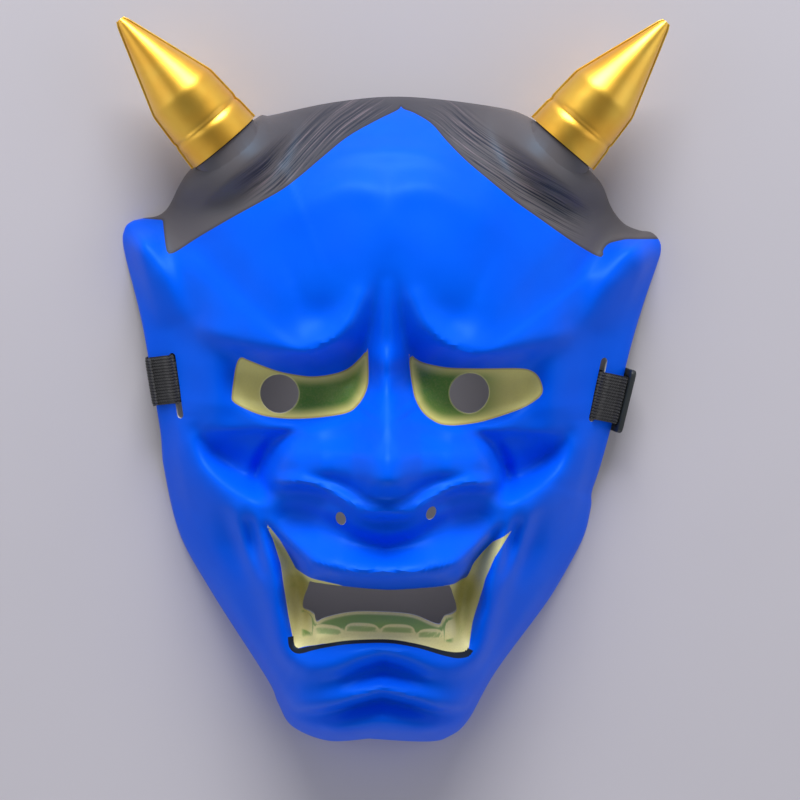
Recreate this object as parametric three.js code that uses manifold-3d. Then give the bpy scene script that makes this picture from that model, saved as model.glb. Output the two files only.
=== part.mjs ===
// Hannya mask: a thin formed face shell, two hollow gold horns, an elastic head strap and its slider.
// Millimetres. The mask lies on its rim with the face up: +X is the viewer's right,
// +Y points to the forehead and the horns, and +Z comes out of the face.

import * as THREE from 'three';
import { mergeVertices } from 'three/addons/utils/BufferGeometryUtils.js';
import Module from 'manifold-3d';

const wasm = await Module();
wasm.setup();

// Driving dimensions of the shell
const WallThickness = 1.0;
const FaceOrigin = new THREE.Vector3(-0.25, -1.15, 0);   // from the middle of the whole to the face's own origin
const SteepestUpward = 0.12;  // upward part of the normal of the steepest wall that still gets its full thickness
const LowestInner = 0.05;
const CentreY = -10;          // height on the face where the outline is measured from
const SoftRadius = 2.2;       // the carving is averaged over this radius
const StartReach = 80;        // first guess of the way from the middle to the rim, mended in RimRounds rounds
const RimRounds = 20;
const RimLift = 10;           // how far the rim rises above the table beside the strap
const LiftCentreY = -1.8;
const LiftHalfLength = 48;
const DomeEdge = 0.62;        // below 1 the wall stands up steeply from the rim
const FaceTurn = 0.03;        // the carved face sits turned in its outline by this angle, in radians
const CellsAcross = 39;       // grid cells across the face, each way
const CellBias = 0.17;        // sets more of the rows in the lower face, where the carving is
const CellSpread = 0.22;      // and sets them closer together near the middle

// The rim seen from the front: from the chin up the left side, over the forehead and down the right side
const RimOutline = [
  [0, -131.4], [-15, -132.8], [-28.2, -128], [-33.8, -119.5], [-38.2, -110.6], [-59.4, -79.8], [-72.4, -57.8],
  [-78.7, -34], [-80.6, -18], [-87.6, 16.4], [-96, 44.4], [-96.2, 52.6], [-93.6, 55.6], [-90, 56.8], [-81.6, 60],
  [-72.6, 75.8], [-50, 94.8], [-44.8, 96.1], [-20.8, 102.1], [4, 105], [36.8, 102.8], [50, 99.2], [61.6, 89.8],
  [72.6, 80.9], [77.6, 75.6], [81.5, 67.8], [86.2, 62.4], [92, 60.1], [96.4, 59.6], [99.4, 57], [100.4, 53.5],
  [99, 47], [89.4, 15], [81.3, -26.2], [78.9, -36.8], [79, -42.7], [76.7, -54.3], [68.9, -70.6], [62.4, -81.6],
  [46, -105.7], [36.8, -123.7], [30, -129.9], [21.9, -132], [0, -131.4],
];

// Depth of the plain face along the middle, how fast it falls to the sides, and how square its dome is
const FrontDepth = [
  [-134, 47], [-122, 53], [-106, 55], [-88, 54], [-65, 54], [-40, 50], [-15, 45],
  [10, 45], [35, 48], [60, 50], [80, 47], [95, 42], [105, 38],
];
const SideFall = [
  [-134, 0.012], [-100, 0.0090], [-75, 0.0075], [-50, 0.0062], [-30, 0.0048],
  [0, 0.0040], [30, 0.0036], [60, 0.0040], [80, 0.0050], [105, 0.0060],
];
const DomeSquareness = [[-134, 7], [-110, 7], [-80, 5.8], [-40, 4.6], [0, 4.2], [50, 4.0], [105, 3.8]];

// The carving, right half: each stroke is a ridge or a groove along a line.
// rise is its height, left and right are its half widths beside the direction of travel,
// and a higher power gives a flatter top with steeper flanks.
const Carving = {
  brow: {
    path: [[7.5, 33], [10, 26], [15, 20.5], [23, 17.2], [33, 16.5], [45, 17.8], [56, 20], [67, 22]],
    rise: [2, 7, 9.5, 10.5, 10.5, 9, 6, 1.5],
    left: [9, 11, 13, 15, 16, 15, 12, 9],
    right: [3.4, 3.8, 4.4, 5, 5, 4.8, 4.4, 4],
  },
  browMass: { path: [[20, 36], [34, 34], [50, 34]], rise: [3, 3, 1.5], left: 15 },
  foreheadLobe: {
    path: [[12, 60], [24, 61], [38, 55], [52, 46]],
    rise: [2.2, 3.2, 2.6, 1],
    left: [9, 9, 9, 9],
    right: [13, 13, 13, 12],
  },
  foreheadNotch: { path: [[0, 70], [0, 60], [0, 50]], rise: [-1, -2.4, -1], left: 7 },
  foreheadBump: { path: [[0, 85], [14, 83]], rise: [3, 1.5], left: 9 },
  furrow: { path: [[2.6, 38], [4.6, 30], [6.2, 22], [7.4, 14.5]], rise: [-1, -4, -5, -3], left: 3.4 },
  glabella: { path: [[0, 34], [0, 24], [0, 14]], rise: [1.5, 4.5, 5.5], left: [3.4, 4.5, 6], power: 3 },
  socket: {
    path: [[12, 5], [22, 0], [36, -1], [48, 1]],
    rise: [-4, -6, -5.5, -3],
    left: [8, 9, 9, 8],
    power: 4,
  },
  lowerLid: { path: [[11, -7], [22, -12.5], [36, -12.5], [50, -8]], rise: [0.5, 2.4, 2.2, 0.8], left: 3.6 },
  temple: {
    path: [[62, 24], [61, 8], [60, -6], [62, -16]],
    rise: [1, 4, 5, 3],
    left: [9, 10, 10, 9],
    right: [7, 7, 7, 7],
  },
  bridge: {
    path: [[0, 12], [0, 1], [0, -10], [0, -20], [0, -27]],
    rise: [3, 8, 14, 21, 24],
    left: [4, 5.4, 8, 11, 11],
    power: 1.8,
  },
  noseBody: { path: [[0, 0], [0, -10], [0, -20]], rise: [2, 7, 9], left: [10, 16, 22], power: 2.4 },
  noseWing: {
    path: [[15, -21], [23, -21.5], [31, -24]],
    rise: [7, 11, 8.5],
    left: [10, 10, 8],
    right: [7, 7.5, 6.5],
    power: 2.6,
  },
  noseRim: {
    path: [[41, -33], [33, -31], [26, -31.2], [19.5, -32.8], [14, -35], [8, -37.4], [0, -38]],
    rise: [3, 5, 6, 6.5, 7, 7, 6.5],
    left: 3.8,
  },
  muzzle: {
    path: [[41, -38], [31, -37.2], [23, -38.7], [16, -41.4], [8, -45], [0, -46.8]],
    rise: [2, 3.2, 4, 5, 5, 4.5],
    left: 3.8,
  },
  cheekHollow: {
    path: [[29, -17], [38, -20], [48, -22], [58, -21]],
    rise: [-3, -7, -7.5, -3.5],
    left: [3, 5, 6, 5],
    power: 3,
  },
  cheekCrest: {
    path: [[67, -10], [65, -20], [60.5, -27], [53, -32], [46, -35], [40, -37.5]],
    rise: [1.5, 3.5, 5, 5.5, 5, 3],
    left: [5, 5, 5, 4.6, 4, 4],
    right: [9, 12, 16, 16, 12, 7],
  },
  lipValley: {
    path: [[42, -41.5], [35, -42], [26, -42.5], [16, -46.5], [7, -51.5], [0, -54]],
    rise: [-1.5, -3, -2.5, -2.5, -4, -5],
    left: 3.6,
  },
  upperLip: {
    path: [[37, -47.5], [30, -49.8], [20, -52.5], [9, -55]],
    rise: [5, 11, 14.5, 15],
    left: [7, 7.5, 8, 8],
    right: [4.4, 4.8, 5.4, 6],
    power: 2.6,
  },
  underLip: { path: [[24, -62], [10, -63.5], [0, -64]], rise: [7, 9, 9], left: 5.4, power: 3 },
  mouthPit: {
    path: [[0, -73], [14, -73], [25, -73]],
    rise: -9,
    left: [8, 8, 8],
    right: [12, 12, 11],
    power: 5,
  },
  mouthSide: {
    path: [[28, -84], [29.5, -74], [31.5, -64], [36, -55], [41, -48.5]],
    rise: [-8, -9, -9, -6, -2.5],
    left: [4, 4.4, 4.4, 3.8, 3],
    power: 3,
  },
  lipRim: {
    path: [
      [45, -45], [42.3, -52], [39.6, -60], [37.6, -69], [35.8, -79], [34.2, -88],
      [29.5, -93.5], [17, -91], [8, -89.3], [0, -88.8],
    ],
    rise: [1, 3, 4.5, 5, 5, 5, 4.5, 4.5, 4.5, 4.5],
    left: [4, 4.4, 5, 5, 5, 5, 5, 4.4, 4.4, 4.4],
    right: [2.6, 2.8, 3, 3, 3, 3, 3, 3, 3, 3],
    power: 2.4,
  },
  lowerTeeth: { path: [[0, -80.6], [13, -81.8], [24, -84.6]], rise: [4, 4, 3.5], left: 3.2, power: 3 },
  chinValley: {
    path: [[0, -95], [10, -97.3], [20, -101.5], [31, -105]],
    rise: [-4.5, -4, -3, -1],
    left: [5, 5, 5, 5],
    right: [4, 4, 4, 4],
  },
  chinShelf: {
    path: [[0, -101], [10, -104], [20, -107.5], [30, -110]],
    rise: [3, 3.2, 3, 1.5],
    left: [5, 5, 5, 5],
    right: [3, 3, 3, 3],
  },
  chin: { path: [[0, -112], [14, -116]], rise: 3, left: [7, 7], right: [10, 10] },
  jaw: {
    path: [[59, -75], [52.5, -89], [45, -99.5], [38, -109.5]],
    rise: [1, 2.5, 3, 1.5],
    left: [4.5, 5, 5, 5],
    right: [7, 8, 8, 6],
  },
  ear: {
    path: [[96, 53], [87, 50], [79, 39], [73, 22]],
    rise: [8, 9, 6, 0],
    left: [14, 15, 13, 8],
    right: [5, 5, 5, 5],
  },
  earValley: { path: [[86, 58], [78, 47], [72, 34]], rise: [-2, -3, -1], left: [5, 6, 6] },
};

// Openings cut through the shell
const EyeHoles = [
  { x: -37.4, y: -2.8, radius: 6.8 },
  { x: 29.6, y: 0.2, radius: 7.1 },
];
const NostrilHoles = [
  { x: -14.5, y: -43.3, turn: 0.25 },
  { x: 16.5, y: -40.2, turn: -0.35 },
];
const NostrilHalfWidth = 1.7;
const NostrilHalfLength = 2.4;
const MouthOpening = [
  [-24.1, -68], [-18.1, -67.9], [-7.8, -68.5], [3.4, -69.1], [12.4, -68.5], [23.9, -67.7], [25.4, -68.2],
  [28.6, -76.3], [28.4, -78.6], [24.6, -78.6], [22.4, -81], [18.8, -80.4], [12.9, -78.2], [5.2, -77.4],
  [-5.1, -77.5], [-11.8, -78.5], [-18.4, -80.6], [-20.9, -82], [-22.2, -80], [-26.1, -79], [-26, -76.1],
];
const HoleSides = 16;
const NostrilSides = 8;
const LowCut = 20;            // the punches for eyes and mouth reach from here up to HighCut
const NostrilCut = 40;        // those for the nostrils start here
const HighCut = 90;
const SlotLength = 23.6;
const SlotWidth = 3.0;
const SlotInset = 8.8;        // from the rim to the middle of the slot, seen from the front
const SlotShift = { [-1]: -2.5, 1: 2.0 };      // how far a slot's middle lies above the strap's, left and right
const SlotLean = 0.35;        // the punch leans outward by this much per millimetre of height
const SlotReach = 24;

// Horns, left (-1) and right (1)
const HornBases = { [-1]: new THREE.Vector3(-60.7, 84.9, 19.5), 1: new THREE.Vector3(60.2, 89.8, 19.5) };
const HornDirections = {
  [-1]: new THREE.Vector3(-0.672, 0.734, 0.1).normalize(),
  1: new THREE.Vector3(0.61, 0.786, 0.1).normalize(),
};
const HornLength = 56.6;
const HornWall = 1.0;
const HornProfile = [         // distance from the base, outer radius
  [0, 14.1], [22.8, 12.7], [50, 3.5], [54, 2.1], [55.9, 1.5], [HornLength, 0.6],
];
const HornSides = 14;
const HornTipSolid = 6;       // the bore stops this far from the tip, and ends in a point
const HornBoreEnd = 3;
const ShoulderDrop = 1.6;     // the shell swells up to the horn's base and stays this much below it
const ShoulderRise = 0.14;    // the shoulder climbs this much per millimetre behind the horn
const ShoulderLength = 12;    // and falls away beyond this length, by ShoulderFade per millimetre
const ShoulderFade = 0.8;
const ShoulderFlatness = 28;
const ShoulderBlend = 6;
const FlangeWidth = 0.7;
const FlangeThickness = 1.0;
const NeckRadius = 13.2;      // the shell's hollow neck that carries the horn
const NeckDepth = 12;         // how far back the neck's bore reaches inside the mask
const NeckSides = 14;
const NeckEnd = -0.4;         // the neck stops short of the horn, and a narrower plug goes into it
const PlugEnd = 5;
const PlugGap = 0.75;         // at the horn's base; the horn narrows along the plug

// Strap and slider
const StrapY = -1.8;
const StrapWidth = 17.5;
const StrapThickness = 1.0;
const StrapClearance = 0.4;
const StrapFloorHeight = 0.8; // middle of the strap where it lies on the table
const StrapFloorInset = 7;    // its way over the table starts this far inside the rim
const StrapApexY = 42;
const StrapRimPull = 34;      // how far it holds its direction at the rim and at its middle
const StrapApexPull = 42;
const StrapFloorSteps = 9;
const StrapEdgePace = 1.3;    // spacing of its points over the edge strip of the shell

// Middle line of the strap on its way up past the rim on the left: distance outward from the rim, height
const LeftLoop = [
  [-4, 0.9], [-1.6, 1.2], [0.1, 2.5], [0.9, 4.6], [1.05, 7.2], [1.0, 9.8], [0.75, 12.2], [0.35, 14.4],
];

// The same inside the mask, below the slot: distance outward from the slot, height above it or above the table
const SlotPassage = [[0.9, 1.0], [-0.1, -0.5], [-0.7, -2.4], [-1.0, -5]];
const SewnEnd = [[-1.3, 6], [-2.2, 3.7], [-4.4, 2.5], [-8, 2.3], [-20, 2.3]];

const SliderLength = 23.5;
const SliderHeight = 13;
const SliderThickness = 2.0;
const SliderOffset = 0.35;    // from the rim to the foot of the slider, which leans outward
const SliderLean = 0.21;      // in radians
const SliderBottom = 0.6;
const SliderCorner = 2;
const SliderEdge = 1.6;       // from its lower edge to the first slot
const SliderSlotHeight = 3.0;
const SliderSlotRoom = 0.6;   // room beside the strap in a slot
const SliderBarHeight = 3.2;

// Middle line of the strap through the slider: distance in front of the plate's middle, height on the plate
const SliderWeave = [
  [-1.9, 2.5], [0, 3.1], [1.35, 3.45], [1.95, 4.3], [1.95, 5.2], [1.95, 7.2], [1.95, 8.1], [1.35, 8.95],
  [0, 9.3], [-1.35, 9.7], [-1.95, 10.6], [-1.9, 11.8],
];
const SliderApproach = [[-4, 0.95], [-2.6, 1.7]];

const ShellBlue = 0x0057f8;
const HornGold = 0xe6b23c;
const StrapBlack = 0x212125;
const SliderBlack = 0x1c2022;

const clamp01 = (value) => Math.min(Math.max(value, 0), 1);

function smoothStep(low, high, value) {
  const share = clamp01((value - low) / (high - low));
  return share * share * (3 - 2 * share);
}

// Smooth value from a table of [position, value] rows
function tableValue(table, position) {
  const last = table.length - 1;
  let row = 0;
  while (row < last - 1 && position > table[row + 1][0]) row += 1;
  const slope = (index) => {
    const before = table[Math.max(index - 1, 0)];
    const after = table[Math.min(index + 1, last)];
    return (after[1] - before[1]) / (after[0] - before[0]);
  };
  const [startAt, startValue] = table[row];
  const [endAt, endValue] = table[row + 1];
  const span = endAt - startAt;
  const share = clamp01((position - startAt) / span);
  const rest = 1 - share;
  return startValue * (1 + 2 * share) * rest * rest
    + endValue * (3 - 2 * share) * share * share
    + slope(row) * span * share * rest * rest
    - slope(row + 1) * span * share * share * rest;
}

// Straight interpolation in a list of values at whole positions, or a single value everywhere
function listValue(values, position) {
  if (!Array.isArray(values)) return values;
  const index = Math.min(Math.floor(position), values.length - 2);
  return values[index] + (values[index + 1] - values[index]) * (position - index);
}

function smoothLine(points, stepsPerSpan) {
  const curve = new THREE.SplineCurve(points.map(([x, y]) => new THREE.Vector2(x, y)));
  return curve.getPoints((points.length - 1) * stepsPerSpan);
}

// Distance from the centre of the face to the rim in the direction of a point
const rimLine = smoothLine(RimOutline, 12);
const rimAngles = rimLine.map((point) => Math.atan2(point.x, point.y - CentreY));
rimAngles[0] = -Math.PI;
const rimDistances = rimLine.map((point) => Math.hypot(point.x, point.y - CentreY));

function rimReach(angle) {
  let index = 1;
  while (index < rimAngles.length - 1 && rimAngles[index] < angle) index += 1;
  const share = clamp01((angle - rimAngles[index - 1]) / (rimAngles[index] - rimAngles[index - 1]));
  return rimDistances[index - 1] + (rimDistances[index] - rimDistances[index - 1]) * share;
}

// Each stroke's line is laid out once, then measured from every point of the face
const strokes = Object.values(Carving).map((stroke) => {
  const steps = stroke.path.length > 2 ? 5 : 1;
  return { power: 2, right: stroke.left, ...stroke, steps, line: smoothLine(stroke.path, steps) };
});

function strokeHeight(stroke, x, y) {
  let nearest = Infinity;
  let side = 0;
  let place = 0;
  for (let index = 0; index < stroke.line.length - 1; index += 1) {
    const start = stroke.line[index];
    const end = stroke.line[index + 1];
    const alongX = end.x - start.x;
    const alongY = end.y - start.y;
    const lengthSquared = alongX * alongX + alongY * alongY;
    const share = clamp01(((x - start.x) * alongX + (y - start.y) * alongY) / lengthSquared);
    const offsetX = x - start.x - alongX * share;
    const offsetY = y - start.y - alongY * share;
    const distance = Math.hypot(offsetX, offsetY);
    if (distance < nearest) {
      nearest = distance;
      side = (alongX * offsetY - alongY * offsetX) / (Math.sqrt(lengthSquared) * distance + 1e-9);
      place = (index + share) / stroke.steps;
    }
  }
  const left = listValue(stroke.left, place);
  const right = listValue(stroke.right, place);
  const halfWidth = (left + right) / 2 + ((left - right) / 2) * side;
  return listValue(stroke.rise, place) * Math.exp(-Math.pow(nearest / halfWidth, stroke.power));
}

// The shoulders under the horns: as high as a horn's base along its line, and round across it
function hornShoulder(x, y) {
  const tops = [-1, 1].map((side) => {
    const aheadX = x - HornBases[side].x;
    const aheadY = y - HornBases[side].y;
    const direction = HornDirections[side];
    const level = Math.hypot(direction.x, direction.y);
    const along = (aheadX * direction.x + aheadY * direction.y) / level;
    const across = (aheadX * direction.y - aheadY * direction.x) / level;
    const top = HornBases[side].z + HornProfile[0][1] - ShoulderDrop - ShoulderRise * along;
    return top - (across * across) / ShoulderFlatness - ShoulderFade * Math.max(-along - ShoulderLength, 0);
  });
  return Math.max(...tops);
}

function smoothMax(first, second, blend) {
  const gap = Math.max(blend - Math.abs(first - second), 0) / blend;
  return Math.max(first, second) + gap * gap * blend * 0.25;
}

// Height of the outer face above the table
function faceHeight(x, y) {
  const reach = rimReach(Math.atan2(x, y - CentreY));
  const share = Math.min(Math.hypot(x, y - CentreY) / reach, 1);
  const sideways = smoothStep(0.3, 0.9, Math.abs(x) / reach);
  const hump = clamp01(1 - ((y - LiftCentreY) / LiftHalfLength) ** 2) ** 2;
  const lift = RimLift * hump * sideways;
  const front = tableValue(FrontDepth, y) - tableValue(SideFall, y) * x * x;
  const dome = Math.pow(1 - Math.pow(share, tableValue(DomeSquareness, y)), DomeEdge);
  const faceX = Math.abs(x + FaceTurn * (y - CentreY));
  const faceY = y - FaceTurn * x;
  let carved = 0;
  for (const stroke of strokes) carved += strokeHeight(stroke, faceX, faceY);
  const face = lift + (front - lift) * dome + carved * smoothStep(0, 0.1, 1 - share);
  const edge = Math.sqrt(1 - Math.pow(share, 40));
  return smoothMax(face, hornShoulder(x, y) * edge, ShoulderBlend * edge + 1e-6);
}

// Mean height around a point, so that the coarse grid carries the carving without stray peaks
function softHeight(x, y, radius) {
  let total = 2 * faceHeight(x, y);
  for (let step = 0; step < 12; step += 1) {
    const angle = (step * Math.PI) / 6;
    const away = step % 2 ? radius : radius / 2;
    total += faceHeight(x + away * Math.cos(angle), y + away * Math.sin(angle));
  }
  return total / 14;
}

function geometryFrom(positions, indices) {
  const geometry = new THREE.BufferGeometry();
  geometry.setAttribute('position', new THREE.Float32BufferAttribute(positions, 3));
  geometry.setIndex(indices);
  return geometry;
}

function gatheredToMiddle(place) {
  return place * (1 - CellSpread + CellSpread * place * place);
}

// A square grid laid over the face, its border on the rim
function faceGrid() {
  const points = [];
  for (let row = 0; row <= CellsAcross; row += 1) {
    for (let column = 0; column <= CellsAcross; column += 1) {
      const across = gatheredToMiddle((2 * column) / CellsAcross - 1);
      const plainUp = (2 * row) / CellsAcross - 1;
      const up = gatheredToMiddle(plainUp) + CellBias * (plainUp * plainUp - 1);
      const discX = across * Math.sqrt(1 - (up * up) / 2);
      const discY = up * Math.sqrt(1 - (across * across) / 2);
      const reach = rimReach(Math.atan2(discX, discY));
      const x = discX * reach;
      const y = CentreY + discY * reach;
      const share = Math.hypot(discX, discY);
      const z = share > 0.999 ? faceHeight(x, y) : softHeight(x, y, SoftRadius * Math.min(1, 8 * (1 - share)));
      points.push(new THREE.Vector3(x, y, Math.max(z, 0)));
    }
  }
  return points;
}

// Grid triangles, the front facing up, with each cell split along its shorter diagonal
function gridTriangles(points) {
  const triangles = [];
  const width = CellsAcross + 1;
  for (let row = 0; row < CellsAcross; row += 1) {
    for (let column = 0; column < CellsAcross; column += 1) {
      const a = row * width + column;
      const b = a + 1;
      const c = a + width + 1;
      const d = a + width;
      if (points[a].distanceTo(points[c]) < points[b].distanceTo(points[d])) {
        triangles.push(a, b, c, a, c, d);
      } else {
        triangles.push(a, b, d, b, c, d);
      }
    }
  }
  return triangles;
}

function gridBorder() {
  const width = CellsAcross + 1;
  const border = [];
  for (let step = 0; step < CellsAcross; step += 1) border.push(step);
  for (let step = 0; step < CellsAcross; step += 1) border.push(step * width + CellsAcross);
  for (let step = 0; step < CellsAcross; step += 1) border.push(CellsAcross * width + CellsAcross - step);
  for (let step = 0; step < CellsAcross; step += 1) border.push((CellsAcross - step) * width);
  return border;
}

// Points of the inner face: straight below the outer ones, far enough to leave a full wall behind the
// steepest triangle beside each, so that the wall never folds; at the rim they move level instead
function insetPoints(points, triangles) {
  const surface = geometryFrom(points.flatMap((point) => point.toArray()), triangles);
  surface.computeVertexNormals();
  const normals = surface.getAttribute('normal');
  const upward = points.map(() => 1);
  const normal = new THREE.Vector3();
  for (let first = 0; first < triangles.length; first += 3) {
    const corners = triangles.slice(first, first + 3);
    new THREE.Triangle(...corners.map((corner) => points[corner])).getNormal(normal);
    for (const corner of corners) upward[corner] = Math.min(upward[corner], normal.z);
  }
  const onBorder = new Set(gridBorder());
  return points.map((point, index) => {
    if (onBorder.has(index)) {
      const outward = new THREE.Vector3().fromBufferAttribute(normals, index).setZ(0).normalize();
      return point.clone().addScaledVector(outward, -WallThickness);
    }
    const drop = WallThickness / Math.max(upward[index], SteepestUpward);
    return point.clone().setZ(Math.max(point.z - drop, LowestInner));
  });
}

// Closes the space between two matching grids: the first faces up, the second down
function closedBetween(upper, lower, triangles) {
  const count = upper.length;
  const positions = [...upper, ...lower].flatMap((point) => point.toArray());
  const indices = [...triangles];
  for (let index = 0; index < triangles.length; index += 3) {
    indices.push(count + triangles[index], count + triangles[index + 2], count + triangles[index + 1]);
  }
  const border = gridBorder();
  border.forEach((start, index) => {
    const end = border[(index + 1) % border.length];
    indices.push(start, count + end, end, start, count + start, count + end);
  });
  return geometryFrom(positions, indices);
}

function toSolid(geometry) {
  const bare = geometry.clone();
  bare.deleteAttribute('normal');
  bare.deleteAttribute('uv');
  const merged = mergeVertices(bare, 1e-4);
  return new wasm.Manifold(new wasm.Mesh({
    numProp: 3,
    vertProperties: new Float32Array(merged.getAttribute('position').array),
    triVerts: new Uint32Array(merged.index.array),
  }));
}

function toGeometry(solid) {
  const mesh = solid.getMesh();
  return geometryFrom(Array.from(mesh.vertProperties), Array.from(mesh.triVerts));
}

// A frame whose Z is the given direction and whose Y keeps as near as it can to up
function frameAlong(origin, direction, up) {
  const z = direction.clone().normalize();
  const x = new THREE.Vector3().crossVectors(up, z).normalize();
  const y = new THREE.Vector3().crossVectors(z, x);
  return new THREE.Matrix4().makeBasis(x, y, z).setPosition(origin);
}

// Where the strap crosses the rim, on the right (side 1) or the left (side -1)
function strapFrame(side) {
  const rimPoint = (y) => {
    let x = side * StartReach;
    for (let round = 0; round < RimRounds; round += 1) {
      const angle = Math.atan2(x, y - CentreY);
      x = rimReach(angle) * Math.sin(angle);
    }
    return new THREE.Vector3(x, y, 0);
  };
  const origin = rimPoint(StrapY);
  const along = rimPoint(StrapY + StrapWidth / 2).sub(rimPoint(StrapY - StrapWidth / 2)).normalize();
  const outward = new THREE.Vector3(along.y, -along.x, 0).multiplyScalar(side);
  return { side, origin, along, outward };
}

// Point beside the rim: distance outward from it, and height
function strapPoint(frame, outward, z) {
  return frame.origin.clone().addScaledVector(frame.outward, outward).setZ(z);
}

function surfaceBeside(frame, outward) {
  const point = strapPoint(frame, outward, 0);
  return softHeight(point.x, point.y, SoftRadius * Math.min(1, -outward / 8));
}

function prism(outline, bottom, top) {
  const shape = new THREE.Shape(outline.map(([x, y]) => new THREE.Vector2(x, y)));
  const geometry = new THREE.ExtrudeGeometry(shape, { depth: top - bottom, bevelEnabled: false });
  geometry.translate(0, 0, bottom);
  return geometry;
}

function ellipse(centreX, centreY, halfWidth, halfLength, turn, sides) {
  const points = [];
  for (let step = 0; step < sides; step += 1) {
    const angle = (step * 2 * Math.PI) / sides;
    const across = halfWidth * Math.cos(angle);
    const up = halfLength * Math.sin(angle);
    points.push([
      centreX + across * Math.cos(turn) - up * Math.sin(turn),
      centreY + across * Math.sin(turn) + up * Math.cos(turn),
    ]);
  }
  return points;
}

function slotCutter(side) {
  const frame = strapFrame(side);
  const slot = new THREE.BoxGeometry(SlotWidth, SlotLength, SlotReach);
  const place = strapPoint(frame, -SlotInset, surfaceBeside(frame, -SlotInset));
  place.addScaledVector(frame.along, SlotShift[side]);
  const lean = new THREE.Vector3(0, 0, 1).addScaledVector(frame.outward, SlotLean);
  slot.applyMatrix4(frameAlong(place, lean, frame.along));
  return slot;
}

// Round body along the horn's axis through rows of [distance, radius]; a row on the axis closes it
function turned(profile, sides) {
  const lathe = new THREE.LatheGeometry(profile.map(([along, radius]) => new THREE.Vector2(radius, along)), sides);
  lathe.rotateX(Math.PI / 2);
  return lathe;
}

function hornFrame(side) {
  return frameAlong(HornBases[side], HornDirections[side], new THREE.Vector3(0, 0, 1));
}

// Height well below the table, where the cutter for the inside of the shell ends
const BelowTable = -6;

function shell() {
  const outer = faceGrid();
  const triangles = gridTriangles(outer);
  const inner = insetPoints(outer, triangles);
  const below = inner.map((point) => point.clone().setZ(BelowTable));
  const hollow = toSolid(closedBetween(inner, below, triangles));
  const plugRadius = HornProfile[0][1] - HornWall - PlugGap;
  const boreRadius = plugRadius - WallThickness;
  const boreEnd = PlugEnd - WallThickness;
  let solid = toSolid(closedBetween(outer, inner, triangles));
  for (const side of [1, -1]) {
    const place = hornFrame(side);
    const neck = turned([
      [-NeckDepth, 0], [-NeckDepth, NeckRadius], [NeckEnd, NeckRadius],
      [NeckEnd, plugRadius], [PlugEnd, plugRadius], [PlugEnd, 0],
    ], NeckSides);
    neck.applyMatrix4(place);
    const bore = turned([[-NeckDepth, 0], [-NeckDepth, boreRadius], [boreEnd, boreRadius], [boreEnd, 0]], NeckSides);
    bore.applyMatrix4(place);
    solid = solid.add(toSolid(neck).subtract(hollow)).subtract(toSolid(bore));
    solid = solid.subtract(toSolid(slotCutter(side)));
  }
  for (const hole of EyeHoles) {
    const outline = ellipse(hole.x, hole.y, hole.radius, hole.radius, 0, HoleSides);
    solid = solid.subtract(toSolid(prism(outline, LowCut, HighCut)));
  }
  for (const hole of NostrilHoles) {
    const outline = ellipse(hole.x, hole.y, NostrilHalfWidth, NostrilHalfLength, hole.turn, NostrilSides);
    solid = solid.subtract(toSolid(prism(outline, NostrilCut, HighCut)));
  }
  solid = solid.subtract(toSolid(prism(MouthOpening, LowCut, HighCut)));
  return toGeometry(solid);
}

function horn(side) {
  const outer = turned([[0, 0], ...HornProfile, [HornLength, 0]], HornSides);
  const bore = HornProfile
    .filter(([along]) => along < HornLength - HornTipSolid)
    .map(([along, radius]) => [along, radius - HornWall]);
  const boreEnd = bore[bore.length - 1][0] + HornBoreEnd;
  const hollow = turned([[-1, 0], [-1, bore[0][1]], ...bore, [boreEnd, 0]], HornSides);
  const edge = HornProfile.map(([along, radius]) => [radius + FlangeWidth, along]);
  const outline = [...edge, ...edge.slice().reverse().map(([across, along]) => [-across, along])];
  const flange = prism(outline, -FlangeThickness / 2, FlangeThickness / 2);
  flange.rotateX(Math.PI / 2);
  const solid = toSolid(outer).add(toSolid(flange)).subtract(toSolid(hollow));
  return toGeometry(solid).applyMatrix4(hornFrame(side));
}

// Middle line of the strap where it loops over the rim: up past the rim, over the edge strip,
// through the slot and back down inside, as [distance outward from the rim, height]
function loopOverRim(frame, start) {
  const stand = StrapThickness / 2 + StrapClearance;
  const points = [...start];
  for (let outward = -1.2; outward > -SlotInset + 2.4; outward -= StrapEdgePace) {
    const slope = Math.atan(surfaceBeside(frame, outward + 0.5) - surfaceBeside(frame, outward - 0.5));
    points.push([outward - stand * Math.sin(slope), surfaceBeside(frame, outward) + stand * Math.cos(slope)]);
  }
  const slotHeight = surfaceBeside(frame, -SlotInset);
  for (const [away, rise] of SlotPassage) points.push([-SlotInset + away, slotHeight + rise]);
  for (const [away, height] of SewnEnd) points.push([-SlotInset + away, height]);
  return points;
}

// On the right the strap first weaves up through the leaning slider
function rightLoop() {
  const lean = Math.sin(SliderLean);
  const level = Math.cos(SliderLean);
  const weave = SliderWeave.map(([front, up]) => [
    SliderOffset + up * lean + front * level,
    SliderBottom + up * level - front * lean,
  ]);
  return [...SliderApproach, ...weave];
}

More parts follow.
